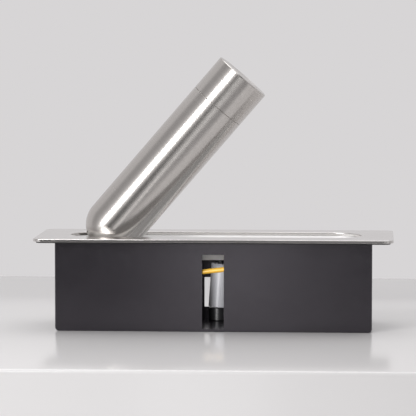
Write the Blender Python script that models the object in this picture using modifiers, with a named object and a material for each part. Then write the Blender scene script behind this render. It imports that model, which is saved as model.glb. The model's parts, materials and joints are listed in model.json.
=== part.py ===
"""Recessed desk power unit: a stainless tube with three earthed sockets tilts up out of a
sheet-metal tray that hangs under a worktop plate. The tube is drawn raised.

Metres, +Z up. The origin is at the middle of the tray's underside, +X points to the tube's
free end, and the sockets face +Y.
"""

import math

import bmesh
import bpy
from mathutils import Vector

# Driving dimensions
GAP = 0.0003  # left between pieces that touch
SHEET = 0.0015  # wall of the tray, the collar and the tube

PLATE_LENGTH = 0.363
PLATE_DEPTH = 0.130
PLATE_THICK = 0.0030
PLATE_TOP = 0.0942
PLATE_CORNER = 0.010
PLATE_EDGE = 0.0006
OPENING_LENGTH = 0.298
OPENING_WIDTH = 0.064
COLLAR_BOTTOM = 0.0709
COLLAR_RELIEF = 0.0760  # the collar stops here above the hinge
COLLAR_RELIEF_X = -0.118

GASKET_THICK = 0.0010
GASKET_INSET = 0.0030
GASKET_CORNER = 0.007
GASKET_AIR = 0.0008

TRAY_LENGTH = 0.320
TRAY_DEPTH = 0.104
TRAY_BEND = 0.004
TRAY_SEAM = 0.001
TRAY_LIP = 0.010  # flange turned in along each long wall
FRONT_SLOT = (-0.0110, 0.0110, 0.0029, 0.0780)  # left, right, bottom, top
REAR_SLOT = (-0.0148, 0.040, 0.0145, 0.0454)

TILT = math.radians(49.2)
PIVOT_X = -0.139
PIVOT_Z = 0.0632
TUBE_RADIUS = 0.030
DOME_CENTRE = 0.0540  # along the tube from the hinge, as are all the next ones
CAP_SEAM = 0.2154
TUBE_END = 0.2554
DOME_HOLE = 0.0106
CAP_SPIGOT = 0.008
CAP_CHAMFER = 0.0008
DISC_RADIUS = 0.018
DISC_THICK = 0.0015

SOCKET_COUNT = 3
SOCKET_PITCH = 0.045
SOCKET_MIDDLE = 0.1387
SOCKET_FACE = 0.0182  # height of the sockets' flat face over the tube's axis
CARRIER_LENGTH = 0.1364
CARRIER_WIDTH = 0.0452
CARRIER_DEPTH = 0.0102
CARRIER_CORNER = 0.0057
CUP_RADIUS = 0.0210
RECESS_RADIUS = 0.01975
RECESS_DEPTH = 0.0175
CUP_FLOOR = 0.0020
PIN_SPACING = 0.019
PIN_HOLE = 0.0028
STRIP_LEVEL = -0.0140
STRIP_THICK = 0.0008
STRIP_WIDTH = 0.006
STRIP_LENGTH = 0.128

BOSS_RADIUS = 0.0115
BOSS_HALF = 0.0275
NECK_RADIUS = 0.0102
ARM_FLANGE = 0.0130  # radius of the shoulder inside the dome and of its nut
SHAFT_RADIUS = 0.0070
SHAFT_BORE = 0.0045
BUSH_RADIUS = 0.0090
BRACKET_INNER = 0.0316
BRACKET_THICK = 0.0025
BRACKET_HALF = 0.012
BRACKET_FOOT = (-0.151, -0.113)
BRACKET_REACH = 0.0495
BRACKET_ROUND = 0.010
SHAFT_FRONT = -0.0430
SHAFT_NUT = -0.0374
SHAFT_NUT_ACROSS = 0.021
SHAFT_NUT_DEPTH = 0.005
ROD_RADIUS = 0.003
ROD_OFFSET = (-0.0037, -0.0154)  # stop rod from the hinge, X and Z

STUD_X = 0.100
STUD_Y = 0.0455
STUD_RADIUS = 0.0020
STUD_FOOT = 0.0825
NUT_ACROSS = 0.0070
NUT_DEPTH = 0.0032
RING_THICK = 0.0008
RING_ROOM = 0.0011  # what a nut or a screw leaves for an earth ring under it
RING_RADIUS = 0.0045
SCREW_HOLE = 0.0028
PAN_HEAD = 0.0045
PAN_HEIGHT = 0.0030
PAN_SHANK = 0.0024
THROUGH = 0.010  # what a cutter passes through a sheet by
FOOT_SCREWS_X = (-0.144, -0.120)
FOOT_SCREW_Y = 0.042

SADDLE_X = 0.104
SADDLE_HALF = 0.007
SADDLE_LEG = 0.021
SADDLE_FOOT = 0.034
SADDLE_SHEET = 0.0020
SADDLE_SCREW_Y = 0.027
SADDLE_TOP = 0.0285
PAD_TOP = 0.0329
BOX_LOW = (0.042, 0.004, SHEET + GAP)
BOX_HIGH = (0.092, 0.048, 0.027)
BOX_WALL = 0.0020
BOX_CORNER = 0.0020
BOX_PIN_HOLE = 0.0018
COVER_SCREW_INSET = 0.0060
COVER_POST = 0.0035
GLAND_Y = 0.017
GLAND_Z = 0.014
GLAND_OUT = 0.0063  # from the box's wall to the gland's outer end, and its hole's radius
RISER_FOOT = (-0.0010, 0.041, 0.0151)
RISER_HEAD = (0.0023, 0.041, 0.0610)
RISER_RADIUS = 0.0092
RISER_WALL = 0.0016
ELBOW_Z = 0.0085
ELBOW_RADIUS = 0.0062
ELBOW_SHOULDER = 0.0065
ELBOW_UPRIGHT = 0.0086
LEAD_Z = 0.0735  # where the lead runs along the rear wall
LEAD_Y = 0.0460
LEAD_RADIUS = 0.0030
EARTH_RADIUS = 0.0025

SMALL = 16  # sides of a screw's hole
ROUND = 24  # sides of a bore or a small turned piece
FINE = 40  # sides of the tube

TRAY_TOP = PLATE_TOP - PLATE_THICK - GAP
PIVOT = (PIVOT_X, 0.0, PIVOT_Z)
ALONG_Y = (-math.pi / 2, 0.0, 0.0)  # turns +Z to +Y
ALONG_X = (0.0, math.pi / 2, 0.0)  # turns +Z to +X


def clear_scene():
    for obj in list(bpy.data.objects):
        bpy.data.objects.remove(obj, do_unlink=True)


def new_collection(name):
    made = bpy.data.collections.new(name)
    bpy.context.scene.collection.children.link(made)
    return made


def finish(name, colour, roughness, metallic):
    """A Principled material."""
    made = bpy.data.materials.new(name)
    made.use_nodes = True
    shader = made.node_tree.nodes["Principled BSDF"]
    shader.inputs["Base Color"].default_value = (*colour, 1.0)
    shader.inputs["Roughness"].default_value = roughness
    shader.inputs["Metallic"].default_value = metallic
    return made


def place(name, data, look, location=(0, 0, 0), rotation=(0, 0, 0), parent=None):
    """Puts a mesh or a curve in the scene as a named piece, or as a cutter where look is None."""
    obj = bpy.data.objects.new(name, data)
    (CUTTERS if look is None else PIECES).objects.link(obj)
    obj.location = location
    obj.rotation_euler = rotation
    obj.parent = parent
    if look is None:
        obj.hide_render = True
        obj.display_type = "WIRE"
    else:
        data.materials.append(finish(name, *look))
    return obj


def to_mesh(name, bm, smooth=True):
    mesh = bpy.data.meshes.new(name)
    bm.to_mesh(mesh)
    bm.free()
    if smooth:
        mesh.shade_smooth()
        mesh.set_sharp_from_angle(angle=math.radians(30))
    return mesh


def block_mesh(name, low, high, bends=()):
    """A box between two corners. Each bend is (edge test, radius, segments)."""
    bm = bmesh.new()
    bmesh.ops.create_cube(bm, size=1.0)
    low, high = Vector(low), Vector(high)
    bmesh.ops.scale(bm, vec=high - low, verts=bm.verts)
    bmesh.ops.translate(bm, vec=(low + high) / 2, verts=bm.verts)
    for test, radius, segments in bends:
        edges = [edge for edge in bm.edges if test(*(v.co for v in edge.verts))]
        bmesh.ops.bevel(
            bm, geom=edges, offset=radius, segments=segments, profile=0.5,
            affect="EDGES", material=-1, clamp_overlap=True,
        )
    return to_mesh(name, bm)


def runs(axis):
    """Tests whether an edge runs along an axis, given as 0, 1 or 2."""
    def test(a, b):
        return abs(b[axis] - a[axis]) > 0.5 * (b - a).length
    return test


def level(axis, value):
    """Tests whether an edge lies at one level of an axis."""
    def test(a, b):
        return abs(a[axis] - value) < 1e-6 and abs(b[axis] - value) < 1e-6
    return test


def both(one, other):
    return lambda a, b: one(a, b) and other(a, b)


def block(name, low, high, look, bends=(), parent=None):
    return place(name, block_mesh(name, low, high, bends), look, parent=parent)


def rod(name, radius, start, end, look, parent=None, sides=ROUND, end_radius=None):
    """A cylinder or a cone from one point to another."""
    start, end = Vector(start), Vector(end)
    bm = bmesh.new()
    bmesh.ops.create_cone(
        bm, cap_ends=True, segments=sides, radius1=radius,
        radius2=radius if end_radius is None else end_radius, depth=(end - start).length,
    )
    mesh = to_mesh(name, bm)
    turn = Vector((0, 0, 1)).rotation_difference(end - start).to_euler()
    return place(name, mesh, look, (start + end) / 2, turn, parent)


def turned(name, profile, look, location=(0, 0, 0), rotation=(0, 0, 0), parent=None,
           sides=ROUND, ring=True):
    """Spins (radius, height) points about Z. They run down the outer side; a ring is closed."""
    mesh = bpy.data.meshes.new(name)
    count = len(profile)
    edges = [(i, (i + 1) % count) for i in range(count if ring else count - 1)]
    mesh.from_pydata([(radius, 0.0, height) for radius, height in profile], edges, [])
    obj = place(name, mesh, look, location, rotation, parent)
    screw = obj.modifiers.new("turn", "SCREW")
    screw.steps = sides
    screw.render_steps = sides
    screw.use_merge_vertices = True
    screw.merge_threshold = 0.00001
    screw.use_smooth_shade = True
    return obj


def arc(centre, radius, start, end, steps):
    """Points on a circle, angles in degrees."""
    angles = [math.radians(start + (end - start) * i / steps) for i in range(steps + 1)]
    return [
        (centre[0] + radius * math.cos(a), centre[1] + radius * math.sin(a)) for a in angles
    ]


def rounded_outline(length, width, radius, steps):
    """A rounded rectangle about the origin; a radius of half the width makes a stadium."""
    x, y = length / 2 - radius, width / 2 - radius
    corners = ((x, y, 0), (-x, y, 90), (-x, -y, 180), (x, -y, 270))
    points = []
    for cx, cy, start in corners:
        for point in arc((cx, cy), radius, start, start + 90, steps):
            if not points or math.dist(point, points[-1]) > 1e-6:
                points.append(point)
    if math.dist(points[0], points[-1]) < 1e-6:
        points.pop()
    return points


def sheet_mesh(name, outlines, bottom, top):
    """A flat piece between two levels, cut to the first outline, with the others as holes."""
    curve = bpy.data.curves.new(name, "CURVE")
    curve.dimensions = "2D"
    curve.fill_mode = "BOTH"
    curve.extrude = (top - bottom) / 2
    for outline in outlines:
        spline = curve.splines.new("POLY")
        spline.points.add(len(outline) - 1)
        spline.use_cyclic_u = True
        for point, (x, y) in zip(spline.points, outline):
            point.co = (x, y, 0, 1)
    guide = bpy.data.objects.new(name + "_guide", curve)
    PIECES.objects.link(guide)
    graph = bpy.context.evaluated_depsgraph_get()
    mesh = bpy.data.meshes.new_from_object(guide.evaluated_get(graph))
    bpy.data.objects.remove(guide)
    bm = bmesh.new()
    bm.from_mesh(mesh)
    bmesh.ops.remove_doubles(bm, verts=bm.verts, dist=1e-6)
    bmesh.ops.translate(bm, vec=(0, 0, (top + bottom) / 2), verts=bm.verts)
    bpy.data.meshes.remove(mesh)
    return to_mesh(name, bm)


def smooth_route(points, spacing):
    """Points along a Catmull-Rom curve through the given ones."""
    knots = [Vector(p) for p in points]
    knots = [2 * knots[0] - knots[1], *knots, 2 * knots[-1] - knots[-2]]
    route = [knots[1]]
    for a, b, c, d in zip(knots, knots[1:], knots[2:], knots[3:]):
        steps = max(1, round((c - b).length / spacing))
        for i in range(1, steps + 1):
            t = i / steps
            route.append(
                (2 * b + (c - a) * t + (2 * a - 5 * b + 4 * c - d) * t * t
                 + (3 * b - a - 3 * c + d) * t * t * t) / 2
            )
    return route


def wire(name, points, radius, look, spacing, parent=None):
    """A round wire along a smooth route."""
    curve = bpy.data.curves.new(name, "CURVE")
    curve.dimensions = "3D"
    curve.bevel_depth = radius
    curve.bevel_resolution = 2
    curve.use_fill_caps = True
    route = smooth_route(points, spacing)
    spline = curve.splines.new("POLY")
    spline.points.add(len(route) - 1)
    for point, co in zip(spline.points, route):
        point.co = (*co, 1)
    return place(name, curve, look, parent=parent)


def boolean(obj, other, operation="DIFFERENCE"):
    step = obj.modifiers.new(other.name, "BOOLEAN")
    step.operation = operation
    step.object = other
    step.solver = "EXACT"


def drill(obj, radius, start, end, parent=None, sides=ROUND):
    cutter = rod(obj.name + "_drill", radius, start, end, None, parent, sides)
    boolean(obj, cutter)


def join(obj, other):
    boolean(obj, other, "UNION")


# Finishes: colour, roughness, metallic
STAINLESS = ((0.60, 0.58, 0.56), 0.28, 1.0)
ANTHRACITE = ((0.055, 0.053, 0.060), 0.45, 0.3)
BLACK_PLASTIC = ((0.020, 0.020, 0.022), 0.45, 0.0)
GREY_SLEEVE = ((0.42, 0.42, 0.44), 0.40, 0.0)
RUBBER = ((0.030, 0.030, 0.030), 0.80, 0.0)
ZINC = ((0.62, 0.62, 0.60), 0.35, 1.0)
BRASS = ((0.75, 0.56, 0.25), 0.30, 1.0)
BRONZE = ((0.55, 0.36, 0.18), 0.40, 1.0)
FIBRE = ((0.25, 0.10, 0.06), 0.70, 0.0)
EARTH_YELLOW = ((0.62, 0.40, 0.04), 0.45, 0.0)
IVORY = ((0.75, 0.72, 0.62), 0.50, 0.0)


def build_plate():
    half = (PLATE_LENGTH / 2, PLATE_DEPTH / 2)
    bottom = PLATE_TOP - PLATE_THICK
    plate = block(
        "bezel_plate", (-half[0], -half[1], bottom), (*half, PLATE_TOP), STAINLESS,
        ((runs(2), PLATE_CORNER, 8), (level(2, PLATE_TOP), PLATE_EDGE, 2)),
    )
    stadium = rounded_outline(OPENING_LENGTH, OPENING_WIDTH, OPENING_WIDTH / 2, 8)
    hole = sheet_mesh("opening", [stadium], bottom - 0.005, PLATE_TOP + 0.005)
    boolean(plate, place("opening_cutter", hole, None))
    for x in (-STUD_X, STUD_X):
        for y in (-STUD_Y, STUD_Y):
            stud = rod("stud", STUD_RADIUS, (x, y, STUD_FOOT), (x, y, bottom + GAP), None, sides=SMALL)
            join(plate, stud)


def build_gasket():
    outer = rounded_outline(
        PLATE_LENGTH - 2 * GASKET_INSET, PLATE_DEPTH - 2 * GASKET_INSET, GASKET_CORNER, 4
    )
    length, depth = TRAY_LENGTH + GASKET_AIR, TRAY_DEPTH + GASKET_AIR
    inner = rounded_outline(length, depth, TRAY_SEAM + GASKET_AIR / 2, 2)
    mesh = sheet_mesh("plate_gasket", [outer, inner], TRAY_TOP - GASKET_THICK, TRAY_TOP)
    place("plate_gasket", mesh, RUBBER)


def build_collar():
    inner = rounded_outline(OPENING_LENGTH, OPENING_WIDTH, OPENING_WIDTH / 2, 8)
    width = OPENING_WIDTH + 2 * SHEET
    outer = rounded_outline(OPENING_LENGTH + 2 * SHEET, width, width / 2, 8)
    mesh = sheet_mesh("opening_collar", [outer, inner], COLLAR_BOTTOM, TRAY_TOP)
    collar = place("opening_collar", mesh, STAINLESS)
    relief = block(
        "collar_relief", (-0.2, -0.05, COLLAR_BOTTOM - 0.01),
        (COLLAR_RELIEF_X, 0.05, COLLAR_RELIEF), None,
    )
    boolean(collar, relief)


def build_tray():
    x, y = TRAY_LENGTH / 2, TRAY_DEPTH / 2
    bend = both(runs(1), level(2, 0.0))
    faces = (level(1, -y), level(1, y))
    top = level(2, TRAY_TOP)
    tray = block(
        "housing_tray", (-x, -y, 0), (x, y, TRAY_TOP), ANTHRACITE,
        (
            (bend, TRAY_BEND, 4),
            (lambda a, b: any(f(a, b) for f in faces) and not top(a, b), TRAY_SEAM, 2),
        ),
    )
    inside = block(
        "tray_inside", (SHEET - x, SHEET - y, SHEET), (x - SHEET, y - SHEET, TRAY_TOP - SHEET),
        None, ((both(runs(1), level(2, SHEET)), TRAY_BEND - SHEET, 4),),
    )
    mouth = block(
        "tray_mouth", (SHEET - x, TRAY_LIP + SHEET - y, TRAY_TOP / 2),
        (x - SHEET, y - SHEET - TRAY_LIP, TRAY_TOP + THROUGH), None,
    )
    boolean(tray, inside)
    boolean(tray, mouth)
    for side, (left, right, bottom, top_level) in ((-1, FRONT_SLOT), (1, REAR_SLOT)):
        low_y, high_y = sorted((side * (y - TRAY_BEND - SHEET), side * (y + THROUGH)))
        boolean(tray, block("wall_slot", (left, low_y, bottom), (right, high_y, top_level), None))
    for stud_x in (-STUD_X, STUD_X):
        for stud_y in (-STUD_Y, STUD_Y):
            drill(
                tray, STUD_RADIUS + GAP, (stud_x, stud_y, TRAY_TOP - THROUGH),
                (stud_x, stud_y, TRAY_TOP + THROUGH), sides=SMALL,
            )
    for screw_x, screw_y in foot_screws() + saddle_screws():
        drill(
            tray, SCREW_HOLE, (screw_x, screw_y, -THROUGH), (screw_x, screw_y, THROUGH),
            sides=SMALL,
        )


def foot_screws():
    return [(x, side * FOOT_SCREW_Y) for side in (-1, 1) for x in FOOT_SCREWS_X]


def saddle_screws():
    return [(SADDLE_X, -SADDLE_SCREW_Y), (SADDLE_X, SADDLE_SCREW_Y)]


def pan_screw(name, x, y, seat):
    """A pan-head screw that stands with its head on a seat and its shank in the tray's floor."""
    profile = [
        (0, PAN_HEIGHT), (PAN_HEAD * 0.67, PAN_HEIGHT * 0.93), (PAN_HEAD, PAN_HEIGHT * 0.6),
        (PAN_HEAD, 0), (PAN_SHANK, 0), (PAN_SHANK, GAP - seat), (0, GAP - seat),
    ]
    screw = turned(name, profile, ZINC, (x, y, seat), sides=SMALL, ring=False)
    slot = block(
        name + "_slot", (x - THROUGH, y - 0.0005, seat + PAN_HEIGHT / 2),
        (x + THROUGH, y + 0.0005, seat + THROUGH), None,
    )
    boolean(screw, slot)


def hex_nut(name, centre, axis, across, depth, bore, look):
    """A hexagon nut that starts at a point and runs along an axis."""
    start = Vector(centre)
    end = start + Vector(axis) * depth
    nut = rod(name, across / math.sqrt(3), start, end, look, sides=6)
    drill(nut, bore, start - Vector(axis) * 0.001, end + Vector(axis) * 0.001, sides=ROUND)


def build_fixings():
    number = 0
    for x in (-STUD_X, STUD_X):
        for y in (-STUD_Y, STUD_Y):
            number += 1
            ring = RING_ROOM if (x > 0 and y < 0) else 0.0
            top = TRAY_TOP - SHEET - GAP - ring
            hex_nut(f"plate_nut_{number}", (x, y, top), (0, 0, -1), NUT_ACROSS, NUT_DEPTH,
                    STUD_RADIUS + GAP, ZINC)
    foot_top = SHEET + 2 * GAP + BRACKET_THICK
    for number, (x, y) in enumerate(foot_screws(), 1):
        ring = RING_ROOM if (y < 0 and x == FOOT_SCREWS_X[1]) else 0.0
        pan_screw(f"bracket_screw_{number}", x, y, foot_top + ring)
    for number, (x, y) in enumerate(saddle_screws(), 1):
        pan_screw(f"saddle_screw_{number}", x, y, SHEET + 2 * GAP + SADDLE_SHEET)


def build_brackets():
    top = PIVOT_Z + BRACKET_HALF
    floor = SHEET + GAP
    rod_x, rod_z = PIVOT_X + ROD_OFFSET[0], PIVOT_Z + ROD_OFFSET[1]
    wall = BRACKET_INNER + BRACKET_THICK
    for side, name in ((-1, "pivot_bracket_front"), (1, "pivot_bracket_rear")):
        low_y, high_y = sorted((side * BRACKET_INNER, side * wall))
        bracket = block(
            name, (PIVOT_X - BRACKET_HALF, low_y, floor), (PIVOT_X + BRACKET_HALF, high_y, top),
            ZINC, ((both(runs(1), level(2, top)), BRACKET_ROUND, 5),),
        )
        low_y, high_y = sorted((side * (BRACKET_INNER + GAP), side * BRACKET_REACH))
        foot = block(
            name + "_foot", (BRACKET_FOOT[0] + GAP, low_y, floor),
            (BRACKET_FOOT[1], high_y, floor + BRACKET_THICK), None,
        )
        join(bracket, foot)
        near, far = side * (BRACKET_INNER - BRACKET_THICK), side * (wall + BRACKET_THICK)
        drill(bracket, SHAFT_RADIUS + GAP, (PIVOT_X, near, PIVOT_Z), (PIVOT_X, far, PIVOT_Z))
        drill(bracket, ROD_RADIUS + GAP, (rod_x, near, rod_z), (rod_x, far, rod_z), sides=SMALL)
        for x in FOOT_SCREWS_X:
            y = side * FOOT_SCREW_Y
            drill(bracket, SCREW_HOLE, (x, y, -THROUGH), (x, y, THROUGH), sides=SMALL)
    end = wall + 0.0014
    rod("stop_rod", ROD_RADIUS, (rod_x, -end, rod_z), (rod_x, end, rod_z), ZINC, sides=20)


def ring_profile(inner, outer, low, high):
    return [(outer, high), (outer, low), (inner, low), (inner, high)]


def build_shaft():
    rear = BRACKET_INNER + BRACKET_THICK
    profile = ring_profile(SHAFT_BORE, SHAFT_RADIUS, SHAFT_FRONT, rear)
    shaft = turned("pivot_shaft", profile, ZINC, PIVOT, ALONG_Y)
    window = block_mesh("shaft_window", (0.001, -0.004, -0.0045), (0.012, 0.004, 0.0045))
    boolean(shaft, place("shaft_window", window, None, PIVOT, (0, -TILT / 2, 0)))
    bore = SHAFT_RADIUS + GAP
    stack = (
        ("friction_washer_front", -0.0303, -0.0293, 0.0112, FIBRE),
        ("friction_washer_rear", 0.0293, 0.0303, 0.0112, FIBRE),
        ("disc_spring", -0.0356, -0.0344, 0.0110, ZINC),
        ("shaft_washer", -0.0371, -0.0359, 0.0115, ZINC),
    )
    for name, low, high, radius, look in stack:
        turned(name, ring_profile(bore, radius, low, high), look, PIVOT, ALONG_Y)
    hex_nut("shaft_nut", (PIVOT_X, SHAFT_NUT, PIVOT_Z), (0, -1, 0), SHAFT_NUT_ACROSS,
            SHAFT_NUT_DEPTH, bore, ZINC)


def build_saddle():
    floor = SHEET + GAP
    x0, x1 = SADDLE_X - SADDLE_HALF, SADDLE_X + SADDLE_HALF
    saddle = block(
        "rest_saddle", (x0, -SADDLE_LEG, floor), (x1, SADDLE_LEG, SADDLE_TOP), ZINC,
        ((both(runs(0), level(2, SADDLE_TOP)), 2 * SADDLE_SHEET, 3),),
    )
    feet = block(
        "saddle_feet", (x0 + GAP, -SADDLE_FOOT, floor),
        (x1 - GAP, SADDLE_FOOT, floor + SADDLE_SHEET), None,
    )
    inside = SADDLE_LEG - SADDLE_SHEET
    arch = block(
        "saddle_arch", (x0 - THROUGH, -inside, -THROUGH),
        (x1 + THROUGH, inside, SADDLE_TOP - SADDLE_SHEET), None,
    )
    join(saddle, feet)
    boolean(saddle, arch)
    for x, y in saddle_screws():
        drill(saddle, SCREW_HOLE, (x, y, -THROUGH), (x, y, THROUGH), sides=SMALL)
    pad = block(
        "rest_pad", (x0 + 0.001, -0.015, SADDLE_TOP + GAP), (x1 - 0.001, 0.015, PAD_TOP + 0.0025),
        RUBBER,
    )
    hollow = rod(
        "pad_hollow", TUBE_RADIUS + GAP, (x0 - THROUGH, 0, PIVOT_Z), (x1 + THROUGH, 0, PIVOT_Z), None,
        sides=FINE,
    )
    boolean(pad, hollow)


def build_terminals():
    low, high = BOX_LOW, BOX_HIGH
    wall = BOX_WALL
    upright = (runs(2), BOX_CORNER, 3)
    box = block("terminal_box", low, high, BLACK_PLASTIC, (upright,))
    inside = block(
        "terminal_box_inside", (low[0] + wall, low[1] + wall, low[2] + wall),
        (high[0] - wall, high[1] - wall, high[2] + THROUGH), None,
    )
    boolean(box, inside)
    for x, y in cover_screws():
        foot = (x, y, low[2] + wall / 4)
        join(box, rod("cover_post", COVER_POST, foot, (x, y, high[2] - GAP), None, sides=SMALL))
        drill(box, BOX_PIN_HOLE, (x, y, 0.012), (x, y, high[2] + THROUGH), sides=SMALL)
    drill(
        box, GLAND_OUT, (low[0] - THROUGH, GLAND_Y, GLAND_Z), (low[0] + THROUGH, GLAND_Y, GLAND_Z)
    )
    cover_low = high[2] + GAP
    cover_top = cover_low + wall
    cover = block(
        "terminal_cover", (low[0], low[1], cover_low), (high[0], high[1], cover_top),
        BLACK_PLASTIC, (upright,),
    )
    for number, (x, y) in enumerate(cover_screws(), 1):
        drill(cover, BOX_PIN_HOLE, (x, y, low[2]), (x, y, cover_top + THROUGH), sides=SMALL)
        profile = [(0, 0.0014), (0.0022, 0.0011), (0.0028, 0.0004), (0.0028, 0), (0.0015, 0),
                   (0.0015, -0.012), (0, -0.012)]
        turned(f"cover_screw_{number}", profile, ZINC, (x, y, cover_top + GAP), sides=SMALL,
               ring=False)
    build_terminal_block((0.056, 0.012, low[2] + wall + GAP), (0.078, 0.039, 0.0165))
    place_at = (low[0] - GLAND_OUT, GLAND_Y, GLAND_Z)
    turned(
        "supply_gland",
        [(0.0060, 0.0160), (0.0060, 0.0060), (0.0080, 0.0060), (0.0080, 0), (0.0036, 0),
         (0.0036, 0.0160)],
        BLACK_PLASTIC, place_at, ALONG_X,
    )
    turned(
        "gland_nut",
        [(0.0085, -GAP), (0.0085, -0.0070), (0.0065, -0.0110), (0.0042, -0.0115), (0.0042, -GAP)],
        BLACK_PLASTIC, place_at, ALONG_X,
    )
    x, y = RISER_FOOT[0], RISER_FOOT[1]
    elbow = rod("riser_elbow", ELBOW_RADIUS, (low[0] - GAP, y, ELBOW_Z), (x, y, ELBOW_Z),
                BLACK_PLASTIC)
    upright_end = rod("elbow_upright", ELBOW_UPRIGHT, (x, y, SHEET + 0.0004),
                      (x, y, RISER_FOOT[2] - GAP), None)
    shoulder = rod("elbow_shoulder", ELBOW_SHOULDER, (x + ELBOW_UPRIGHT * 0.86, y, ELBOW_Z),
                   (low[0] - 0.017, y, ELBOW_Z), None)
    join(elbow, shoulder)
    join(elbow, upright_end)


def build_terminal_block(low, high):
    """The connector strip in the box: three ways, each with two screw holes and a wire bore."""
    terminal = block("terminal_block", low, high, IVORY, ((runs(2), 0.001, 1),))
    floor = high[2] - 0.0065
    for way in range(3):
        y = low[1] + 0.0045 + 0.009 * way
        for x in (0.062, 0.072):
            drill(terminal, 0.0024, (x, y, floor), (x, y, high[2] + THROUGH), sides=SMALL)
        drill(
            terminal, 0.0018, (low[0] - THROUGH, y, 0.0078), (high[0] + THROUGH, y, 0.0078),
            sides=12,
        )


def cover_screws():
    inset = COVER_SCREW_INSET
    return [(BOX_LOW[0] + inset, BOX_HIGH[1] - inset), (BOX_HIGH[0] - inset, BOX_LOW[1] + inset)]


def build_leads():
    foot, head = Vector(RISER_FOOT), Vector(RISER_HEAD)
    length = (head - foot).length
    turn = Vector((0, 0, 1)).rotation_difference(head - foot).to_euler()
    profile = ring_profile(RISER_RADIUS - RISER_WALL, RISER_RADIUS, 2 * GAP, length)
    turned("riser_sleeve", profile, GREY_SLEEVE, RISER_FOOT, turn)
    route = [
        (0.0004, 0.0410, 0.0350), (0.0015, 0.0410, 0.0500), (0.0023, 0.0414, 0.0610),
        (-0.0020, 0.0436, 0.0700), (-0.0120, 0.0450, LEAD_Z), (-0.0300, LEAD_Y, LEAD_Z),
        (-0.0600, LEAD_Y, LEAD_Z), (-0.0850, LEAD_Y, LEAD_Z - 0.0008),
        (-0.1050, 0.0464, 0.0690), (-0.1180, 0.0466, 0.0645), (-0.1265, 0.0466, PIVOT_Z),
        (-0.1349, 0.0430, PIVOT_Z), (-0.1386, 0.0345, PIVOT_Z), (PIVOT_X, 0.0240, PIVOT_Z),
        (PIVOT_X, 0.0090, PIVOT_Z),
    ]
    wire("tube_lead", route, LEAD_RADIUS, BLACK_PLASTIC, 0.008)
    clip = block(
        "lead_clip", (-0.0490, 0.0410, LEAD_Z - 0.0070), (-0.0410, 0.0502, LEAD_Z + 0.0060),
        BLACK_PLASTIC, ((runs(0), 0.002, 2),),
    )
    drill(
        clip, LEAD_RADIUS + 2 * GAP, (-0.06, LEAD_Y, LEAD_Z), (-0.03, LEAD_Y, LEAD_Z), sides=20
    )
    ring_z = SHEET + 2 * GAP + BRACKET_THICK + RING_THICK / 2
    plate_ring_z = TRAY_TOP - SHEET - GAP - RING_THICK / 2
    low_eye = Vector((FOOT_SCREWS_X[1], -FOOT_SCREW_Y, ring_z))
    high_eye = Vector((STUD_X, -STUD_Y, plate_ring_z))
    earth_ring("earth_ring_bracket", low_eye, (0.0128, 0, 0.0031), 0.0029)
    earth_ring("earth_ring_plate", high_eye, (-0.0128, 0.0008, -0.0046), STUD_RADIUS + GAP)
    earth = [
        low_eye + Vector((0.0132, 0, 0.0032)), (-0.0980, -0.0420, 0.0120),
        (-0.0800, -0.0425, 0.0270), (-0.0580, -0.0425, 0.0444), (-0.0340, -0.0420, 0.0554),
        (-0.0110, -0.0420, 0.0599), (0.0110, -0.0420, 0.0625), (0.0350, -0.0420, 0.0667),
        (0.0580, -0.0430, 0.0734), (0.0760, -0.0440, 0.0805),
        high_eye + Vector((-0.0132, 0.0008, -0.00475)),
    ]
    wire("earth_wire", earth, EARTH_RADIUS, EARTH_YELLOW, 0.008)


def earth_ring(name, centre, barrel, bore):
    """A crimped eye: a flat ring with a barrel that the wire enters."""
    half = RING_THICK / 2
    up = Vector((0, 0, half))
    eye = rod(name, RING_RADIUS, centre - up, centre + up, ZINC)
    barrel = Vector(barrel)
    crimp = rod(
        name + "_barrel", EARTH_RADIUS, centre + barrel / 2, centre + barrel, None, sides=12
    )
    low_x, high_x = sorted((math.copysign(0.0034, barrel.x), math.copysign(0.0088, barrel.x)))
    tongue_mesh = block_mesh(name + "_tongue", (low_x, -0.0016, -half), (high_x, 0.0016, half))
    tongue = place(name + "_tongue", tongue_mesh, None, centre)
    join(eye, tongue)
    join(eye, crimp)
    drill(eye, bore, centre - 5 * up, centre + 5 * up, sides=SMALL)


def build_arm(hinge):
    arm = rod("pivot_arm", BOSS_RADIUS, (0, -BOSS_HALF, 0), (0, BOSS_HALF, 0), ZINC, hinge)
    join(arm, rod("arm_neck", NECK_RADIUS, (0.004, 0, 0), (0.0378, 0, 0), None, hinge))
    join(arm, rod("arm_shoulder", ARM_FLANGE, (0.0188, 0, 0), (0.0254, 0, 0), None, hinge))
    tail = block("arm_tail", (-0.0160, -0.008, -0.004), (-0.0050, 0.008, 0.004), None, parent=hinge)
    join(arm, tail)
    drill(arm, BUSH_RADIUS + GAP, (0, -0.04, 0), (0, 0.04, 0), hinge)
    drill(arm, 0.0050, (0.0010, 0, 0), (0.0500, 0, 0), hinge, sides=ROUND)
    turned(
        "arm_ring_nut", ring_profile(NECK_RADIUS + GAP, ARM_FLANGE + 0.0002, 0.0302, 0.0358), ZINC,
        rotation=ALONG_X, parent=hinge,
    )
    for side, name in ((-1, "pivot_bush_front"), (1, "pivot_bush_rear")):
        turn = ALONG_Y if side > 0 else (math.pi / 2, 0, 0)
        flange, start = BOSS_HALF + GAP, 0.0120
        profile = [
            (0.0112, flange + 0.0012), (0.0112, flange), (BUSH_RADIUS, flange),
            (BUSH_RADIUS, start), (SHAFT_RADIUS + GAP, start), (SHAFT_RADIUS + GAP, flange + 0.0012),
        ]
        turned(name, profile, BRONZE, rotation=turn, parent=hinge)


def dome_arc(radius, steps):
    """The domed end's section, from the straight tube down to the hole at its pole."""
    last = math.degrees(math.acos(DOME_HOLE / radius))
    points = arc((0, 0), radius, 0, last, steps)
    return [(x, DOME_CENTRE - y) for x, y in points]


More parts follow.
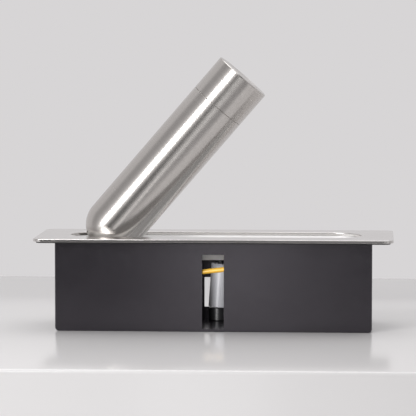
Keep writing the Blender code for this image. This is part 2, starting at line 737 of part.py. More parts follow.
def build_tube(hinge):
    inner = TUBE_RADIUS - SHEET
    profile = [(TUBE_RADIUS, CAP_SEAM), *dome_arc(TUBE_RADIUS, 7)]
    profile += [*reversed(dome_arc(inner, 5)), (inner, CAP_SEAM)]
    shell = turned(
        "tube_shell", profile, STAINLESS, rotation=ALONG_X, parent=hinge, sides=FINE
    )
    half = CARRIER_LENGTH / 2 + GAP, CARRIER_WIDTH / 2 + GAP
    window = block(
        "tube_window", (SOCKET_MIDDLE - half[0], 0.010, -half[1]),
        (SOCKET_MIDDLE + half[0], 0.040, half[1]), None,
        ((runs(1), CARRIER_CORNER + GAP, 5),), hinge,
    )
    boolean(shell, window)
    seam = CAP_SEAM + GAP
    end_wall = TUBE_END - DISC_THICK - GAP
    wall = TUBE_RADIUS - SHEET - GAP
    cap = [
        (0, end_wall), (DISC_RADIUS + GAP, end_wall), (DISC_RADIUS + GAP, TUBE_END),
        (TUBE_RADIUS - CAP_CHAMFER, TUBE_END), (TUBE_RADIUS, TUBE_END - CAP_CHAMFER),
        (TUBE_RADIUS, seam), (wall, seam), (wall, seam - CAP_SPIGOT),
        (wall - SHEET, seam - CAP_SPIGOT), (wall - SHEET, end_wall - SHEET), (0, end_wall - SHEET),
    ]
    turned("end_cap", cap, STAINLESS, rotation=ALONG_X, parent=hinge, sides=FINE, ring=False)
    disc = [
        (0, TUBE_END), (DISC_RADIUS - GAP, TUBE_END), (DISC_RADIUS, TUBE_END - GAP),
        (DISC_RADIUS, end_wall + GAP), (0, end_wall + GAP),
    ]
    turned("end_disc", disc, STAINLESS, rotation=ALONG_X, parent=hinge, ring=False)


def socket_places():
    first = SOCKET_MIDDLE - SOCKET_PITCH * (SOCKET_COUNT - 1) / 2
    return [first + SOCKET_PITCH * i for i in range(SOCKET_COUNT)]


def carrier_screws():
    return [(SOCKET_MIDDLE - SOCKET_PITCH / 2, 0.0175), (SOCKET_MIDDLE + SOCKET_PITCH / 2, -0.0175)]


def build_carrier(hinge):
    half = CARRIER_LENGTH / 2, CARRIER_WIDTH / 2
    carrier = block(
        "socket_carrier", (SOCKET_MIDDLE - half[0], SOCKET_FACE - CARRIER_DEPTH, -half[1]),
        (SOCKET_MIDDLE + half[0], SOCKET_FACE, half[1]), BLACK_PLASTIC,
        ((runs(1), CARRIER_CORNER, 5),), hinge,
    )
    for s in socket_places():
        drill(carrier, CUP_RADIUS + GAP, (s, 0, 0), (s, 0.03, 0), hinge)
    base_top = STRIP_LEVEL - GAP
    base = block(
        "strip_base", (SOCKET_MIDDLE - 0.067, -0.0195, -0.019), (SOCKET_MIDDLE + 0.067, base_top, 0.019),
        BLACK_PLASTIC, parent=hinge,
    )
    for number, (s, z) in enumerate(carrier_screws(), 1):
        drill(carrier, 0.0018, (s, 0, z), (s, 0.03, z), hinge, SMALL)
        drill(carrier, 0.0033, (s, SOCKET_FACE - 0.0020, z), (s, 0.03, z), hinge, SMALL)
        drill(base, 0.0018, (s, -0.03, z), (s, 0, z), hinge, SMALL)
        head = SOCKET_FACE - 0.0002
        profile = [
            (0, head), (0.0028, head - 0.0002), (0.0029, SOCKET_FACE - 0.0016),
            (0.0015, SOCKET_FACE - 0.0016), (0.0015, -0.0185), (0, -0.0185),
        ]
        screw = turned(f"carrier_screw_{number}", profile, ZINC, (s, 0, z), ALONG_Y, hinge, SMALL, False)
        slot = block(
            "carrier_screw_slot", (s - 0.004, head - 0.0008, z - 0.0004),
            (s + 0.004, head + 0.001, z + 0.0004), None, parent=hinge,
        )
        boolean(screw, slot)


def build_cups(hinge):
    bottom = -(RECESS_DEPTH + CUP_FLOOR)
    profile = [
        (0, -RECESS_DEPTH), (RECESS_RADIUS, -RECESS_DEPTH), (RECESS_RADIUS, -0.0006),
        (RECESS_RADIUS + 0.0005, 0), (CUP_RADIUS, 0), (CUP_RADIUS, bottom), (0, bottom),
    ]
    for number, s in enumerate(socket_places(), 1):
        cup = turned(
            f"socket_cup_{number}", profile, BLACK_PLASTIC, (s, SOCKET_FACE, 0), ALONG_Y, hinge,
            ring=False,
        )
        for side in (-1, 1):
            z = side * PIN_SPACING / 2
            low_z, high_z = sorted((side * 0.0175, side * 0.0204))
            rib = block(
                "plug_rib", (s - 0.0022, SOCKET_FACE - RECESS_DEPTH - 0.001, low_z),
                (s + 0.0022, SOCKET_FACE - 0.0020, high_z), None, parent=hinge,
            )
            join(cup, rib)
            drill(cup, PIN_HOLE, (s, -0.010, z), (s, 0.010, z), hinge, SMALL)
            low_s, high_s = sorted((s + side * 0.0170, s + side * 0.0240))
            slot = block(
                "clip_slot", (low_s, -0.0005, -0.0030), (high_s, 0.0156, 0.0030), None,
                parent=hinge,
            )
            boolean(cup, slot)


def build_strips(hinge):
    half = STRIP_LENGTH / 2
    top = STRIP_LEVEL + STRIP_THICK
    for side, name in ((1, "live_strip"), (-1, "neutral_strip")):
        z = side * PIN_SPACING / 2
        strip = block(
            name, (SOCKET_MIDDLE - half, STRIP_LEVEL, z - STRIP_WIDTH / 2),
            (SOCKET_MIDDLE + half, top, z + STRIP_WIDTH / 2), BRASS, parent=hinge,
        )
        for s in socket_places():
            sleeve = rod(
                "pin_sleeve", 0.0036, (s, STRIP_LEVEL + GAP, z), (s, -0.0018, z), None, hinge, SMALL
            )
            join(strip, sleeve)
            drill(strip, 0.0026, (s, top + 0.001, z), (s, 0.002, z), hinge, SMALL)
    earth = block(
        "earth_strip", (SOCKET_MIDDLE - 0.0672, STRIP_LEVEL, -0.0025),
        (SOCKET_MIDDLE + 0.0672, top, 0.0025), BRASS, parent=hinge,
    )
    for s in socket_places():
        for side in (-1, 1):
            join(earth, earth_clip(s, side, hinge))


def earth_clip(s, side, hinge):
    """A sprung leg that rises beside a cup and bulges into its recess."""
    path = ((0.0217, -0.0136), (0.0217, 0.0006), (0.0180, 0.0062), (0.0176, 0.0090), (0.0190, 0.0135))
    bm = bmesh.new()
    line = [bm.verts.new((s + side * x, y, -0.0024)) for x, y in path]
    edges = [bm.edges.new(pair) for pair in zip(line, line[1:])]
    swept = bmesh.ops.extrude_edge_only(bm, edges=edges)["geom"]
    raised = [v for v in swept if isinstance(v, bmesh.types.BMVert)]
    bmesh.ops.translate(bm, vec=(0, 0, 0.0048), verts=raised)
    bmesh.ops.recalc_face_normals(bm, faces=bm.faces)
    clip = place("earth_clip", to_mesh("earth_clip", bm), None, parent=hinge)
    wall = clip.modifiers.new("wall", "SOLIDIFY")
    wall.thickness = 0.0007
    wall.offset = 0.0
    wall.use_even_offset = True
    return clip


clear_scene()
PIECES = new_collection("desk_power_unit")
CUTTERS = new_collection("cutters")
CUTTERS.hide_render = True

build_plate()
build_gasket()
build_collar()
build_tray()
build_fixings()
build_brackets()
build_shaft()
build_saddle()
build_terminals()
build_leads()

tube_hinge = bpy.data.objects.new("tube_hinge", None)
PIECES.objects.link(tube_hinge)
tube_hinge.location = PIVOT
tube_hinge.rotation_euler = (0, -TILT, 0)
build_arm(tube_hinge)
build_tube(tube_hinge)
build_carrier(tube_hinge)
build_cups(tube_hinge)
build_strips(tube_hinge)
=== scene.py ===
import json
import math
import bmesh
import bpy
from mathutils import Matrix, Vector

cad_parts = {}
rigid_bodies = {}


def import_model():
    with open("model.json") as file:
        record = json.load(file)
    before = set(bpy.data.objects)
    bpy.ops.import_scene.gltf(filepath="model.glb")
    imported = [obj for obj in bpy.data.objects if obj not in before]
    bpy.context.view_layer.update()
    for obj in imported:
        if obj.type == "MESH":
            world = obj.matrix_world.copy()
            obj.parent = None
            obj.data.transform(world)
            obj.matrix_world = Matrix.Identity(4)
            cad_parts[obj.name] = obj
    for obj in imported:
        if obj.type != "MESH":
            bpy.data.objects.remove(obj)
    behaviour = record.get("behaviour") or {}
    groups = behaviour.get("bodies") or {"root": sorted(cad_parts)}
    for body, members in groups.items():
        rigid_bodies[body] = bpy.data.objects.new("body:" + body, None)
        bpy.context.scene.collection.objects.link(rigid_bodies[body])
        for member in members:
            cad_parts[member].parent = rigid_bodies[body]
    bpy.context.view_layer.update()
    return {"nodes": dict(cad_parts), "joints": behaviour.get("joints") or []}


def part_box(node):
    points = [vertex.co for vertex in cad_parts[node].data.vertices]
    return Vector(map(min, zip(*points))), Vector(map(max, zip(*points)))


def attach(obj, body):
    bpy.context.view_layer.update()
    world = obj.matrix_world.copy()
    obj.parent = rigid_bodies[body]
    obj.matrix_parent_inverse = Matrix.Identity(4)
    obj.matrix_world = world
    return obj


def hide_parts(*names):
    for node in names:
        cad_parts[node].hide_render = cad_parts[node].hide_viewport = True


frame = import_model()
nodes = frame["nodes"]
print("frame loaded,", len(nodes), "nodes")

# the hinge, and the space along the raised tube: x from the hinge to the flat end, y to the sockets
tilt = frame["joints"][0]
hinge = Vector(tilt["pos_m"])
raised = math.radians(tilt["range_deg"][1])
tubeSpace = Matrix.Translation(hinge) @ Matrix.Rotation(-raised, 4, "Y")
plateLow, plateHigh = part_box("bezel_plate")
collarLow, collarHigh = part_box("opening_collar")
trayLow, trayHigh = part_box("housing_tray")

gap = 0.0003  # air between pieces that touch
sheet = 0.0015  # wall of the tray, the collar and the tube
toX = Vector((1, 0, 0))
toY = Vector((0, 1, 0))
toZ = Vector((0, 0, 1))


# camera, stage and light

view = {
    "from": (0.165, -2.830, 0.3297),
    "at": (-0.0081, 0.0, 0.1215),
    "lens": 240.3,
}


def aimed(place, target, upward):
    # the turn that points -z at the target with y as near to upward as it can be
    back = (Vector(place) - Vector(target)).normalized()
    up = (Vector(upward) - back * back.dot(Vector(upward))).normalized()
    return Matrix((up.cross(back), up, back)).transposed().to_euler()


def makeCamera():
    data = bpy.data.cameras.new("camera")
    data.lens = view["lens"]
    data.clip_end = 50
    camera = bpy.data.objects.new("camera", data)
    bpy.context.collection.objects.link(camera)
    camera.location = view["from"]
    camera.rotation_euler = aimed(view["from"], view["at"], toZ)
    bpy.context.scene.camera = camera


table = {
    "front": -0.3485,
    "back": 0.511,
    "halfWidth": 1.6,
    "drop": 0.7,
    "edge": 0.004,
    "colour": (0.66, 0.65, 0.65, 1),
    "roughness": 0.16,
}


def makeStage():
    bm = bmesh.new()
    bmesh.ops.create_cube(bm, size=1)
    depth = table["back"] - table["front"]
    bmesh.ops.scale(bm, vec=(2 * table["halfWidth"], depth, table["drop"]), verts=bm.verts)
    middle = (table["front"] + table["back"]) / 2
    bmesh.ops.translate(bm, vec=(0, middle, -table["drop"] / 2), verts=bm.verts)
    bmesh.ops.bevel(bm, geom=bm.edges, offset=table["edge"], segments=4, profile=0.5,
                    affect="EDGES", material=-1)
    mesh = bpy.data.meshes.new("paleFloor")
    bm.to_mesh(mesh)
    bm.free()
    mesh.shade_smooth()
    mesh.set_sharp_from_angle(angle=math.radians(30))
    floor = bpy.data.objects.new("paleFloor", mesh)
    bpy.context.collection.objects.link(floor)
    look = bpy.data.materials.new("paleLacquer")
    look.use_nodes = True
    shader = look.node_tree.nodes["Principled BSDF"]
    shader.inputs["Base Color"].default_value = table["colour"]
    shader.inputs["Roughness"].default_value = table["roughness"]
    mesh.materials.append(look)


tubeRun = Vector((math.cos(raised), 0, math.sin(raised)))
tubeSide = Vector((-math.sin(raised), 0, math.cos(raised)))
lamps = (
    # name, where, aimed at, long side along, width, length, watts
    ("upperLeftBox", (-0.853, -1.264, 0.843), (-0.05, 0, 0.15), tubeRun, 0.45, 1.7, 18.0),
    ("frontBox", (-0.03, -0.95, 0.30), (-0.01, 0, 0.20), toZ, 0.16, 0.9, 0.42),
    ("underTable", (0.0, -0.75, -0.55), (0.0, -0.36, -0.10), toX, 0.3, 2.6, 4.6),
    ("ceilingBox", (0.2, 0.5, 2.3), (0, 0, 0), toY, 2.0, 2.0, 22.0),
)
# how bright the room is, by the angle round the tube: 0 is the camera's side, 90 the upper left
roomLevels = (
    (-180, 0.68), (-100, 0.60), (-62, 0.34), (-46, 0.80), (-34, 0.40), (-23, 0.36), (-11, 0.50),
    (0, 0.13), (14, 0.07), (25, 0.55), (52, 0.80), (64, 0.52), (78, 0.40), (92, 0.42), (104, 0.66),
    (180, 0.68),
)
room = {
    "tint": (1.0, 0.978, 0.987),
    "backdrop": 0.68,  # what stands behind the table
}
# lamps that reach only some of the pieces
slotLamp = ("slotLamp", (-0.11, -1.30, 0.075), (0.004, 0.035, 0.035), toZ, 0.12, 0.10, 13.0)
tubeGlow = ("tubeGlow", (0.02, 0, 0.0850), (0.02, 0, 1), toX, 0.060, 0.250, 0.016)
rimGlow = ("rimGlow", (0.0, 0, 0.0840), (0.0, 0, 1), toX, 0.060, 0.280, 0.060)


def grey(level):
    return tuple(level * part for part in room["tint"]) + (1,)


def makeLamp(name, place, aim, longSide, width, length, watts):
    data = bpy.data.lights.new(name, "AREA")
    data.shape = "RECTANGLE"
    data.size = width
    data.size_y = length
    data.energy = watts
    lamp = bpy.data.objects.new(name, data)
    bpy.context.collection.objects.link(lamp)
    lamp.location = place
    lamp.rotation_euler = aimed(place, aim, longSide)
    return lamp


def makeRoom():
    world = bpy.data.worlds.new("studio")
    bpy.context.scene.world = world
    world.use_nodes = True
    tree = world.node_tree
    add, link = tree.nodes.new, tree.links.new
    direction = add("ShaderNodeTexCoord").outputs["Generated"]
    across = add("ShaderNodeVectorMath")
    across.operation = "DOT_PRODUCT"
    across.inputs[1].default_value = tubeSide
    link(direction, across.inputs[0])
    ahead = add("ShaderNodeVectorMath")
    ahead.operation = "DOT_PRODUCT"
    ahead.inputs[1].default_value = -toY
    link(direction, ahead.inputs[0])
    angle = add("ShaderNodeMath")
    angle.operation = "ARCTAN2"
    link(across.outputs["Value"], angle.inputs[0])
    link(ahead.outputs["Value"], angle.inputs[1])
    share = add("ShaderNodeMapRange")
    share.inputs["From Min"].default_value = -math.pi
    share.inputs["From Max"].default_value = math.pi
    link(angle.outputs[0], share.inputs["Value"])
    ramp = add("ShaderNodeValToRGB")
    stops = ramp.color_ramp.elements
    for index, (degrees, level) in enumerate(roomLevels):
        place = (degrees + 180) / 360
        stop = stops.new(place) if 0 < index < len(roomLevels) - 1 else stops[0 if index == 0 else -1]
        stop.color = grey(level)
    link(share.outputs["Result"], ramp.inputs["Fac"])
    seen = add("ShaderNodeMix")
    seen.data_type = "RGBA"
    seen.inputs["B"].default_value = grey(room["backdrop"])
    link(ramp.outputs["Color"], seen.inputs["A"])
    link(add("ShaderNodeLightPath").outputs["Is Camera Ray"], seen.inputs["Factor"])
    link(seen.outputs["Result"], tree.nodes["Background"].inputs["Color"])
    bpy.context.scene.view_settings.view_transform = "Standard"


def makeLight():
    for lamp in lamps:
        makeLamp(*lamp)
    makeRoom()


def lightOnly(lamp, lit):
    # the lamp reaches these pieces alone, and the camera doesn't see it
    lamp.visible_camera = False
    group = bpy.data.collections.new(lamp.name + "Reach")
    for litPiece in lit:
        group.objects.link(litPiece)
    lamp.light_linking.receiver_collection = group


def keepDark(lamp, unlit):
    # the lamp reaches everything but these pieces
    group = bpy.data.collections.new(lamp.name + "Misses")
    for unlitPiece in unlit:
        group.objects.link(unlitPiece)
    for member in group.collection_objects:
        member.light_linking.link_state = "EXCLUDE"
    lamp.light_linking.receiver_collection = group


makeCamera()
makeStage()
makeLight()
print("camera, stage and light made")


# shaping helpers: each returns a bmesh

def softened(bm, width, segments=2, sharper=30):
    edges = [edge for edge in bm.edges
             if len(edge.link_faces) == 2 and edge.calc_face_angle() > math.radians(sharper)]
    bmesh.ops.bevel(bm, geom=edges, offset=width, segments=segments, profile=0.5,
                    affect="EDGES", material=-1, clamp_overlap=True)
    return bm


def alongAxis(edge, axis):
    run = edge.verts[1].co - edge.verts[0].co
    return abs(run[axis]) > 0.5 * run.length


def atLevel(edge, axis, value):
    return all(abs(vert.co[axis] - value) < 1e-6 for vert in edge.verts)


def runs(axis, across=None, level=None):
    # an edge test: along one axis, and at a level across another when one is given
    return lambda edge: alongAxis(edge, axis) and (across is None or atLevel(edge, across, level))


def block(low, high, soft=0.0, rounded=()):
    # rounded holds (edge test, radius, segments) and comes before the small softening of every edge
    bm = bmesh.new()
    bmesh.ops.create_cube(bm, size=1)
    low, high = Vector(low), Vector(high)
    bmesh.ops.scale(bm, vec=high - low, verts=bm.verts)
    bmesh.ops.translate(bm, vec=(low + high) / 2, verts=bm.verts)
    for test, radius, segments in rounded:
        bmesh.ops.bevel(bm, geom=[edge for edge in bm.edges if test(edge)], offset=radius,
                        segments=segments, profile=0.5, affect="EDGES", material=-1)
    return softened(bm, soft) if soft else bm


def spun(profile, steps=64, ring=False, soft=0.0):
    # (along, radius) points turned about x
    bm = bmesh.new()
    verts = [bm.verts.new((along, radius, 0)) for along, radius in profile]
    pairs = list(zip(verts, verts[1:]))
    if ring:
        pairs.append((verts[-1], verts[0]))
    edges = [bm.edges.new(pair) for pair in pairs]
    bmesh.ops.spin(bm, geom=verts + edges, cent=(0, 0, 0), axis=toX, angle=2 * math.pi,
                   steps=steps, use_merge=True)
    bmesh.ops.remove_doubles(bm, verts=bm.verts, dist=1e-6)
    bmesh.ops.recalc_face_normals(bm, faces=bm.faces)
    return softened(bm, soft) if soft else bm


def arc(along, radius, bend, start, end, steps):
    # profile points round a bend, angles in degrees from the axis
    turns = [math.radians(start + (end - start) * step / steps) for step in range(steps + 1)]
    return [(along + bend * math.cos(turn), radius + bend * math.sin(turn)) for turn in turns]


def rod(radius, start, end, steps=48, soft=0.0):
    length = (Vector(end) - Vector(start)).length
    bm = spun(((0, 0), (0, radius), (length, radius), (length, 0)), steps, soft=soft)
    bm.transform(pointed(start, Vector(end) - Vector(start)))
    return bm


def pointed(place, direction):
    # moves a turned shape so that it starts at a place and runs along a direction
    turn = toX.rotation_difference(Vector(direction)).to_matrix().to_4x4()
    return Matrix.Translation(place) @ turn


def outline(bm, length, width, corner, height, steps):
    # a rounded rectangle of loose edges
    made = bmesh.ops.create_grid(bm, x_segments=1, y_segments=1, size=0.5)["verts"]
    bmesh.ops.scale(bm, vec=(length, width, 1), verts=made)
    bmesh.ops.translate(bm, vec=(0, 0, height), verts=made)
    bmesh.ops.bevel(bm, geom=made, offset=corner, segments=steps, profile=0.5,
                    affect="VERTICES", material=-1)
    face = next(iter(bm.faces))
    edges = list(face.edges)
    bmesh.ops.delete(bm, geom=[face], context="FACES_ONLY")
    return edges


def hooped(loops, steps=16, flats=()):
    # bridges (length, width, corner, height) outlines in turn, and the last to the first;
    # flats lists the outlines that a flat face joins to the next one
    bm = bmesh.new()
    rims = [outline(bm, *loop, steps) for loop in loops]
    for index, (rim, following) in enumerate(zip(rims, rims[1:] + rims[:1])):
        if index in flats:
            bmesh.ops.triangle_fill(bm, use_beauty=True, edges=rim + following)
        else:
            bmesh.ops.bridge_loops(bm, edges=rim + following)
    bmesh.ops.recalc_face_normals(bm, faces=bm.faces)
    return bm


def smoothed(points, spacing):
    # points along a curve through the given ones
    knots = [Vector(point) for point in points]
    knots = [2 * knots[0] - knots[1], *knots, 2 * knots[-1] - knots[-2]]
    route = [knots[1]]
    for before, start, end, after in zip(knots, knots[1:], knots[2:], knots[3:]):
        steps = max(1, round((end - start).length / spacing))
        for step in range(1, steps + 1):
            t = step / steps
            route.append((2 * start + (end - before) * t
                          + (2 * before - 5 * start + 4 * end - after) * t * t
                          + (3 * start - before - 3 * end + after) * t * t * t) / 2)
    return route


def swept(route, radius, sides=20):
    # a round wire along a route, with the angle round it and the length along it as its uv
    bm = bmesh.new()
    frames = []
    side = toZ
    for before, point, after in zip([route[0]] + route, route, route[1:] + [route[-1]]):
        run = (after - before).normalized()
        side = (side - run * side.dot(run)).normalized()
        turn = Matrix((side, run.cross(side), run)).transposed().to_4x4()
        frames.append(Matrix.Translation(point) @ turn)
    places = {}
    rings = []
    length = 0.0
    for index, ringSpace in enumerate(frames):
        if index:
            length += (route[index] - route[index - 1]).length
        ends = index in (0, len(frames) - 1)
        made = bmesh.ops.create_circle(bm, cap_ends=ends, segments=sides, radius=radius,
                                       matrix=ringSpace)["verts"]
        for number, vert in enumerate(made):
            places[vert] = (length, number / sides)
        rings.append([edge for edge in bm.edges if edge.verts[0] in made and edge.verts[1] in made])
    for ring, following in zip(rings, rings[1:]):
        bmesh.ops.bridge_loops(bm, edges=ring + following)
    layer = bm.loops.layers.uv.new("along")
    for face in bm.faces:
        rounds = [places[loop.vert][1] for loop in face.loops]
        for loop in face.loops:
            length, turn = places[loop.vert]
            loop[layer].uv = (length, turn + 1 if max(rounds) - turn > 0.5 else turn)
    bmesh.ops.recalc_face_normals(bm, faces=bm.faces)
    return bm


def added(bm, *others):
    # puts closed shapes that don't cross into one mesh
    for other in others:
        mesh = bpy.data.meshes.new("added")
        other.to_mesh(mesh)
        other.free()
        bm.from_mesh(mesh)
        bpy.data.meshes.remove(mesh)
    return bm


def placedMesh(name, bm):
    mesh = bpy.data.meshes.new(name)
    bm.to_mesh(mesh)
    bm.free()
    obj = bpy.data.objects.new(name, mesh)
    bpy.context.collection.objects.link(obj)
    return obj


def carved(bm, *steps):
    # each step is ("DIFFERENCE", "UNION" or "INTERSECT", shape)
    body = placedMesh("carving", bm)
    tools = []
    for operation, shape in steps:
        tool = placedMesh("tool", shape)
        change = body.modifiers.new("change", "BOOLEAN")
        change.solver = "EXACT"
        change.operation = operation
        change.object = tool
        tools.append(tool)
    graph = bpy.context.evaluated_depsgraph_get()
    mesh = bpy.data.meshes.new_from_object(body.evaluated_get(graph))
    result = bmesh.new()
    result.from_mesh(mesh)
    bpy.data.meshes.remove(mesh)
    for spent in (body, *tools):
        data = spent.data
        bpy.data.objects.remove(spent)
        bpy.data.meshes.remove(data)
    bmesh.ops.remove_doubles(result, verts=result.verts, dist=1e-7)
    return result


def cuts(*shapes):
    return [("DIFFERENCE", shape) for shape in shapes]


def joins(*shapes):
    return [("UNION", shape) for shape in shapes]


def wrapUv(bm):
    # u runs along the turned shape's section and v round its axis, so that brushing can follow it
    layer = bm.loops.layers.uv.new("brush")
    for face in bm.faces:
        centre = face.calc_center_median()
        middle = math.atan2(centre.z, centre.y)
        for loop in face.loops:
            along, y, z = loop.vert.co
            turn = math.atan2(z, y) - middle
            turn = middle + (turn + math.pi) % (2 * math.pi) - math.pi
            loop[layer].uv = (10 * (along + math.hypot(y, z)), turn / (2 * math.pi))
    return bm


def piece(name, bm, body, replaced, look, space=None):
    if space is not None:
        bm.transform(space)
    obj = placedMesh(name, bm)
    obj.data.shade_smooth()
    obj.data.set_sharp_from_angle(angle=math.radians(30))
    obj.data.materials.append(look)
    flat = obj.modifiers.new("flatFaces", "WEIGHTED_NORMAL")
    flat.keep_sharp = True
    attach(obj, body)
    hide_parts(*replaced)
    return obj


# effects that more than one finish uses

def maths(tree, operation, *values):
    # a maths node on other nodes' outputs and plain numbers
    node = tree.nodes.new("ShaderNodeMath")
    node.operation = operation
    for socket, value in zip(node.inputs, values):
        if isinstance(value, float):
            socket.default_value = value
        else:
            tree.links.new(value, socket)
    return node.outputs[0]


def noise(tree, where, scale, detail):
    node = tree.nodes.new("ShaderNodeTexNoise")
    node.inputs["Detail"].default_value = detail
    tree.links.new(where, node.inputs["Vector"])
    if isinstance(scale, float):
        node.inputs["Scale"].default_value = scale
    else:
        tree.links.new(scale, node.inputs["Scale"])
    return node


def stretched(tree, value, low, high):
    # a number that runs from 0 to 1 as the value runs from low to high
    node = tree.nodes.new("ShaderNodeMapRange")
    node.inputs["From Min"].default_value = low
    node.inputs["From Max"].default_value = high
    tree.links.new(value, node.inputs["Value"])
    return node.outputs["Result"]


def newGroup(name, inputs, outputs):
    group = bpy.data.node_groups.new(name, "ShaderNodeTree")
    for label, kind, value in inputs:
        socket = group.interface.new_socket(label, in_out="INPUT", socket_type=kind)
        if value is not None:
            socket.default_value = value
    for label, kind in outputs:
        group.interface.new_socket(label, in_out="OUTPUT", socket_type=kind)
    return group, group.nodes.new("NodeGroupInput"), group.nodes.new("NodeGroupOutput")


number = "NodeSocketFloat"
vector = "NodeSocketVector"


def brushingGroup():
    # scratches that run across the first axis of the vector
    group, given, result = newGroup(
        "brushing",
        (("Vector", vector, None), ("Across", number, 2500.0), ("Along", number, 14.0),
         ("Depth", number, 1.0)),
        (("Streaks", number), ("Bands", number), ("Height", number)))
    add, link = group.nodes.new, group.links.new
    stretch = add("ShaderNodeCombineXYZ")
    link(given.outputs["Across"], stretch.inputs["X"])
    link(given.outputs["Along"], stretch.inputs["Y"])
    link(given.outputs["Along"], stretch.inputs["Z"])
    fine = add("ShaderNodeVectorMath")
    fine.operation = "MULTIPLY"
    link(given.outputs["Vector"], fine.inputs[0])
    link(stretch.outputs[0], fine.inputs[1])
    streaks = noise(group, fine.outputs[0], 1.0, 3.0)
    streaks.inputs["Roughness"].default_value = 0.65
    coarse = add("ShaderNodeVectorMath")
    coarse.operation = "MULTIPLY"
    coarse.inputs[1].default_value = (0.09, 0.35, 0.35)
    link(fine.outputs[0], coarse.inputs[0])
    bands = noise(group, coarse.outputs[0], 1.0, 2.0)
    height = maths(group, "MULTIPLY", streaks.outputs["Fac"], given.outputs["Depth"])
    link(streaks.outputs["Fac"], result.inputs["Streaks"])
    link(bands.outputs["Fac"], result.inputs["Bands"])
    link(height, result.inputs["Height"])
    return group


def edgeWearGroup():
    # 1 on edges that hands and tools rub, broken up by noise
    group, given, result = newGroup(
        "edgeWear",
        (("Vector", vector, None), ("Amount", number, 1.0), ("Patches", number, 160.0)),
        (("Wear", number),))
    shape = group.nodes.new("ShaderNodeNewGeometry")
    edge = stretched(group, shape.outputs["Pointiness"], 0.53, 0.62)
    patches = noise(group, given.outputs["Vector"], given.outputs["Patches"], 4.0)
    uneven = stretched(group, patches.outputs["Fac"], 0.35, 0.65)
    rubbed = maths(group, "MULTIPLY", edge, uneven)
    wear = maths(group, "MULTIPLY", rubbed, given.outputs["Amount"])
    group.links.new(wear, result.inputs["Wear"])
    return group


def grainGroup():
    # the orange peel of powder coat, and the fine texture of moulded plastic and rubber
    group, given, result = newGroup(
        "grain",
        (("Vector", vector, None), ("Size", number, 0.0006), ("Depth", number, 1.0)),
        (("Speckle", number), ("Height", number)))
    link = group.links.new
    scale = maths(group, "DIVIDE", 1.0, given.outputs["Size"])
    pits = noise(group, given.outputs["Vector"], scale, 3.0)
    cells = group.nodes.new("ShaderNodeTexVoronoi")
    cells.feature = "SMOOTH_F1"
    link(given.outputs["Vector"], cells.inputs["Vector"])
    link(scale, cells.inputs["Scale"])
    both = maths(group, "ADD", pits.outputs["Fac"], cells.outputs["Distance"])
    height = maths(group, "MULTIPLY", both, given.outputs["Depth"])
    link(pits.outputs["Fac"], result.inputs["Speckle"])
    link(height, result.inputs["Height"])
    return group


def handlingGroup():
    # faint smears and settled dust: wide, slow patches, with more dust on faces that look up
    group, given, result = newGroup(
        "handling",
        (("Vector", vector, None), ("Patches", number, 22.0), ("Dust", number, 0.5)),
        (("Smear", number), ("Dust", number)))
    add, link = group.nodes.new, group.links.new
    patches = noise(group, given.outputs["Vector"], given.outputs["Patches"], 5.0)
    patches.inputs["Distortion"].default_value = 0.6
    smear = stretched(group, patches.outputs["Fac"], 0.35, 0.70)
    facing = add("ShaderNodeSeparateXYZ")
    link(add("ShaderNodeNewGeometry").outputs["Normal"], facing.inputs[0])
    upward = maths(group, "MAXIMUM", facing.outputs["Z"], 0.0)
    settled = maths(group, "MULTIPLY", upward, smear)
    dust = maths(group, "MULTIPLY", settled, given.outputs["Dust"])
    link(smear, result.inputs["Smear"])
    link(dust, result.inputs["Dust"])
    return group


brushing = brushingGroup()
edgeWear = edgeWearGroup()
grain = grainGroup()
handling = handlingGroup()


# building a finish

def startLook(name, roughness, metallic=0.0, turnedBy=None):
    look = bpy.data.materials.new(name)
    look.use_nodes = True
    tree = look.node_tree
    shader = tree.nodes["Principled BSDF"]
    shader.inputs["Roughness"].default_value = roughness
    shader.inputs["Metallic"].default_value = metallic
    where = tree.nodes.new("ShaderNodeTexCoord").outputs["Object"]
    if turnedBy is not None:
        turn = tree.nodes.new("ShaderNodeMapping")
        turn.inputs["Location"].default_value = turnedBy.to_translation()
        turn.inputs["Rotation"].default_value = turnedBy.to_euler()
        tree.links.new(where, turn.inputs["Vector"])
        where = turn.outputs["Vector"]
    return look, tree, shader, where


def use(tree, group, where, **values):
    node = tree.nodes.new("ShaderNodeGroup")
    node.node_tree = group
    tree.links.new(where, node.inputs["Vector"])
    for label, value in values.items():
        node.inputs[label.capitalize()].default_value = value
    return node


def between(tree, factor, low, high):
    # a number that runs from low to high as the factor runs from 0 to 1
    node = tree.nodes.new("ShaderNodeMapRange")
    node.inputs["To Min"].default_value = low
    node.inputs["To Max"].default_value = high
    tree.links.new(factor, node.inputs["Value"])
    return node.outputs["Result"]


def tinted(tree, factor, low, high):
    # a colour that runs from low to high; low may be another colour's output
    node = tree.nodes.new("ShaderNodeMix")
    node.data_type = "RGBA"
    for label, value in (("A", low), ("B", high)):
        if isinstance(value, tuple):
            node.inputs[label].default_value = (*value, 1)
        else:
            tree.links.new(value, node.inputs[label])
    tree.links.new(factor, node.inputs["Factor"])
    return node.outputs["Result"]


def bumped(tree, shader, height, distance, strength=1.0):
    node = tree.nodes.new("ShaderNodeBump")
    node.inputs["Distance"].default_value = distance
    node.inputs["Strength"].default_value = strength
    tree.links.new(height, node.inputs["Height"])
    tree.links.new(node.outputs["Normal"], shader.inputs["Normal"])


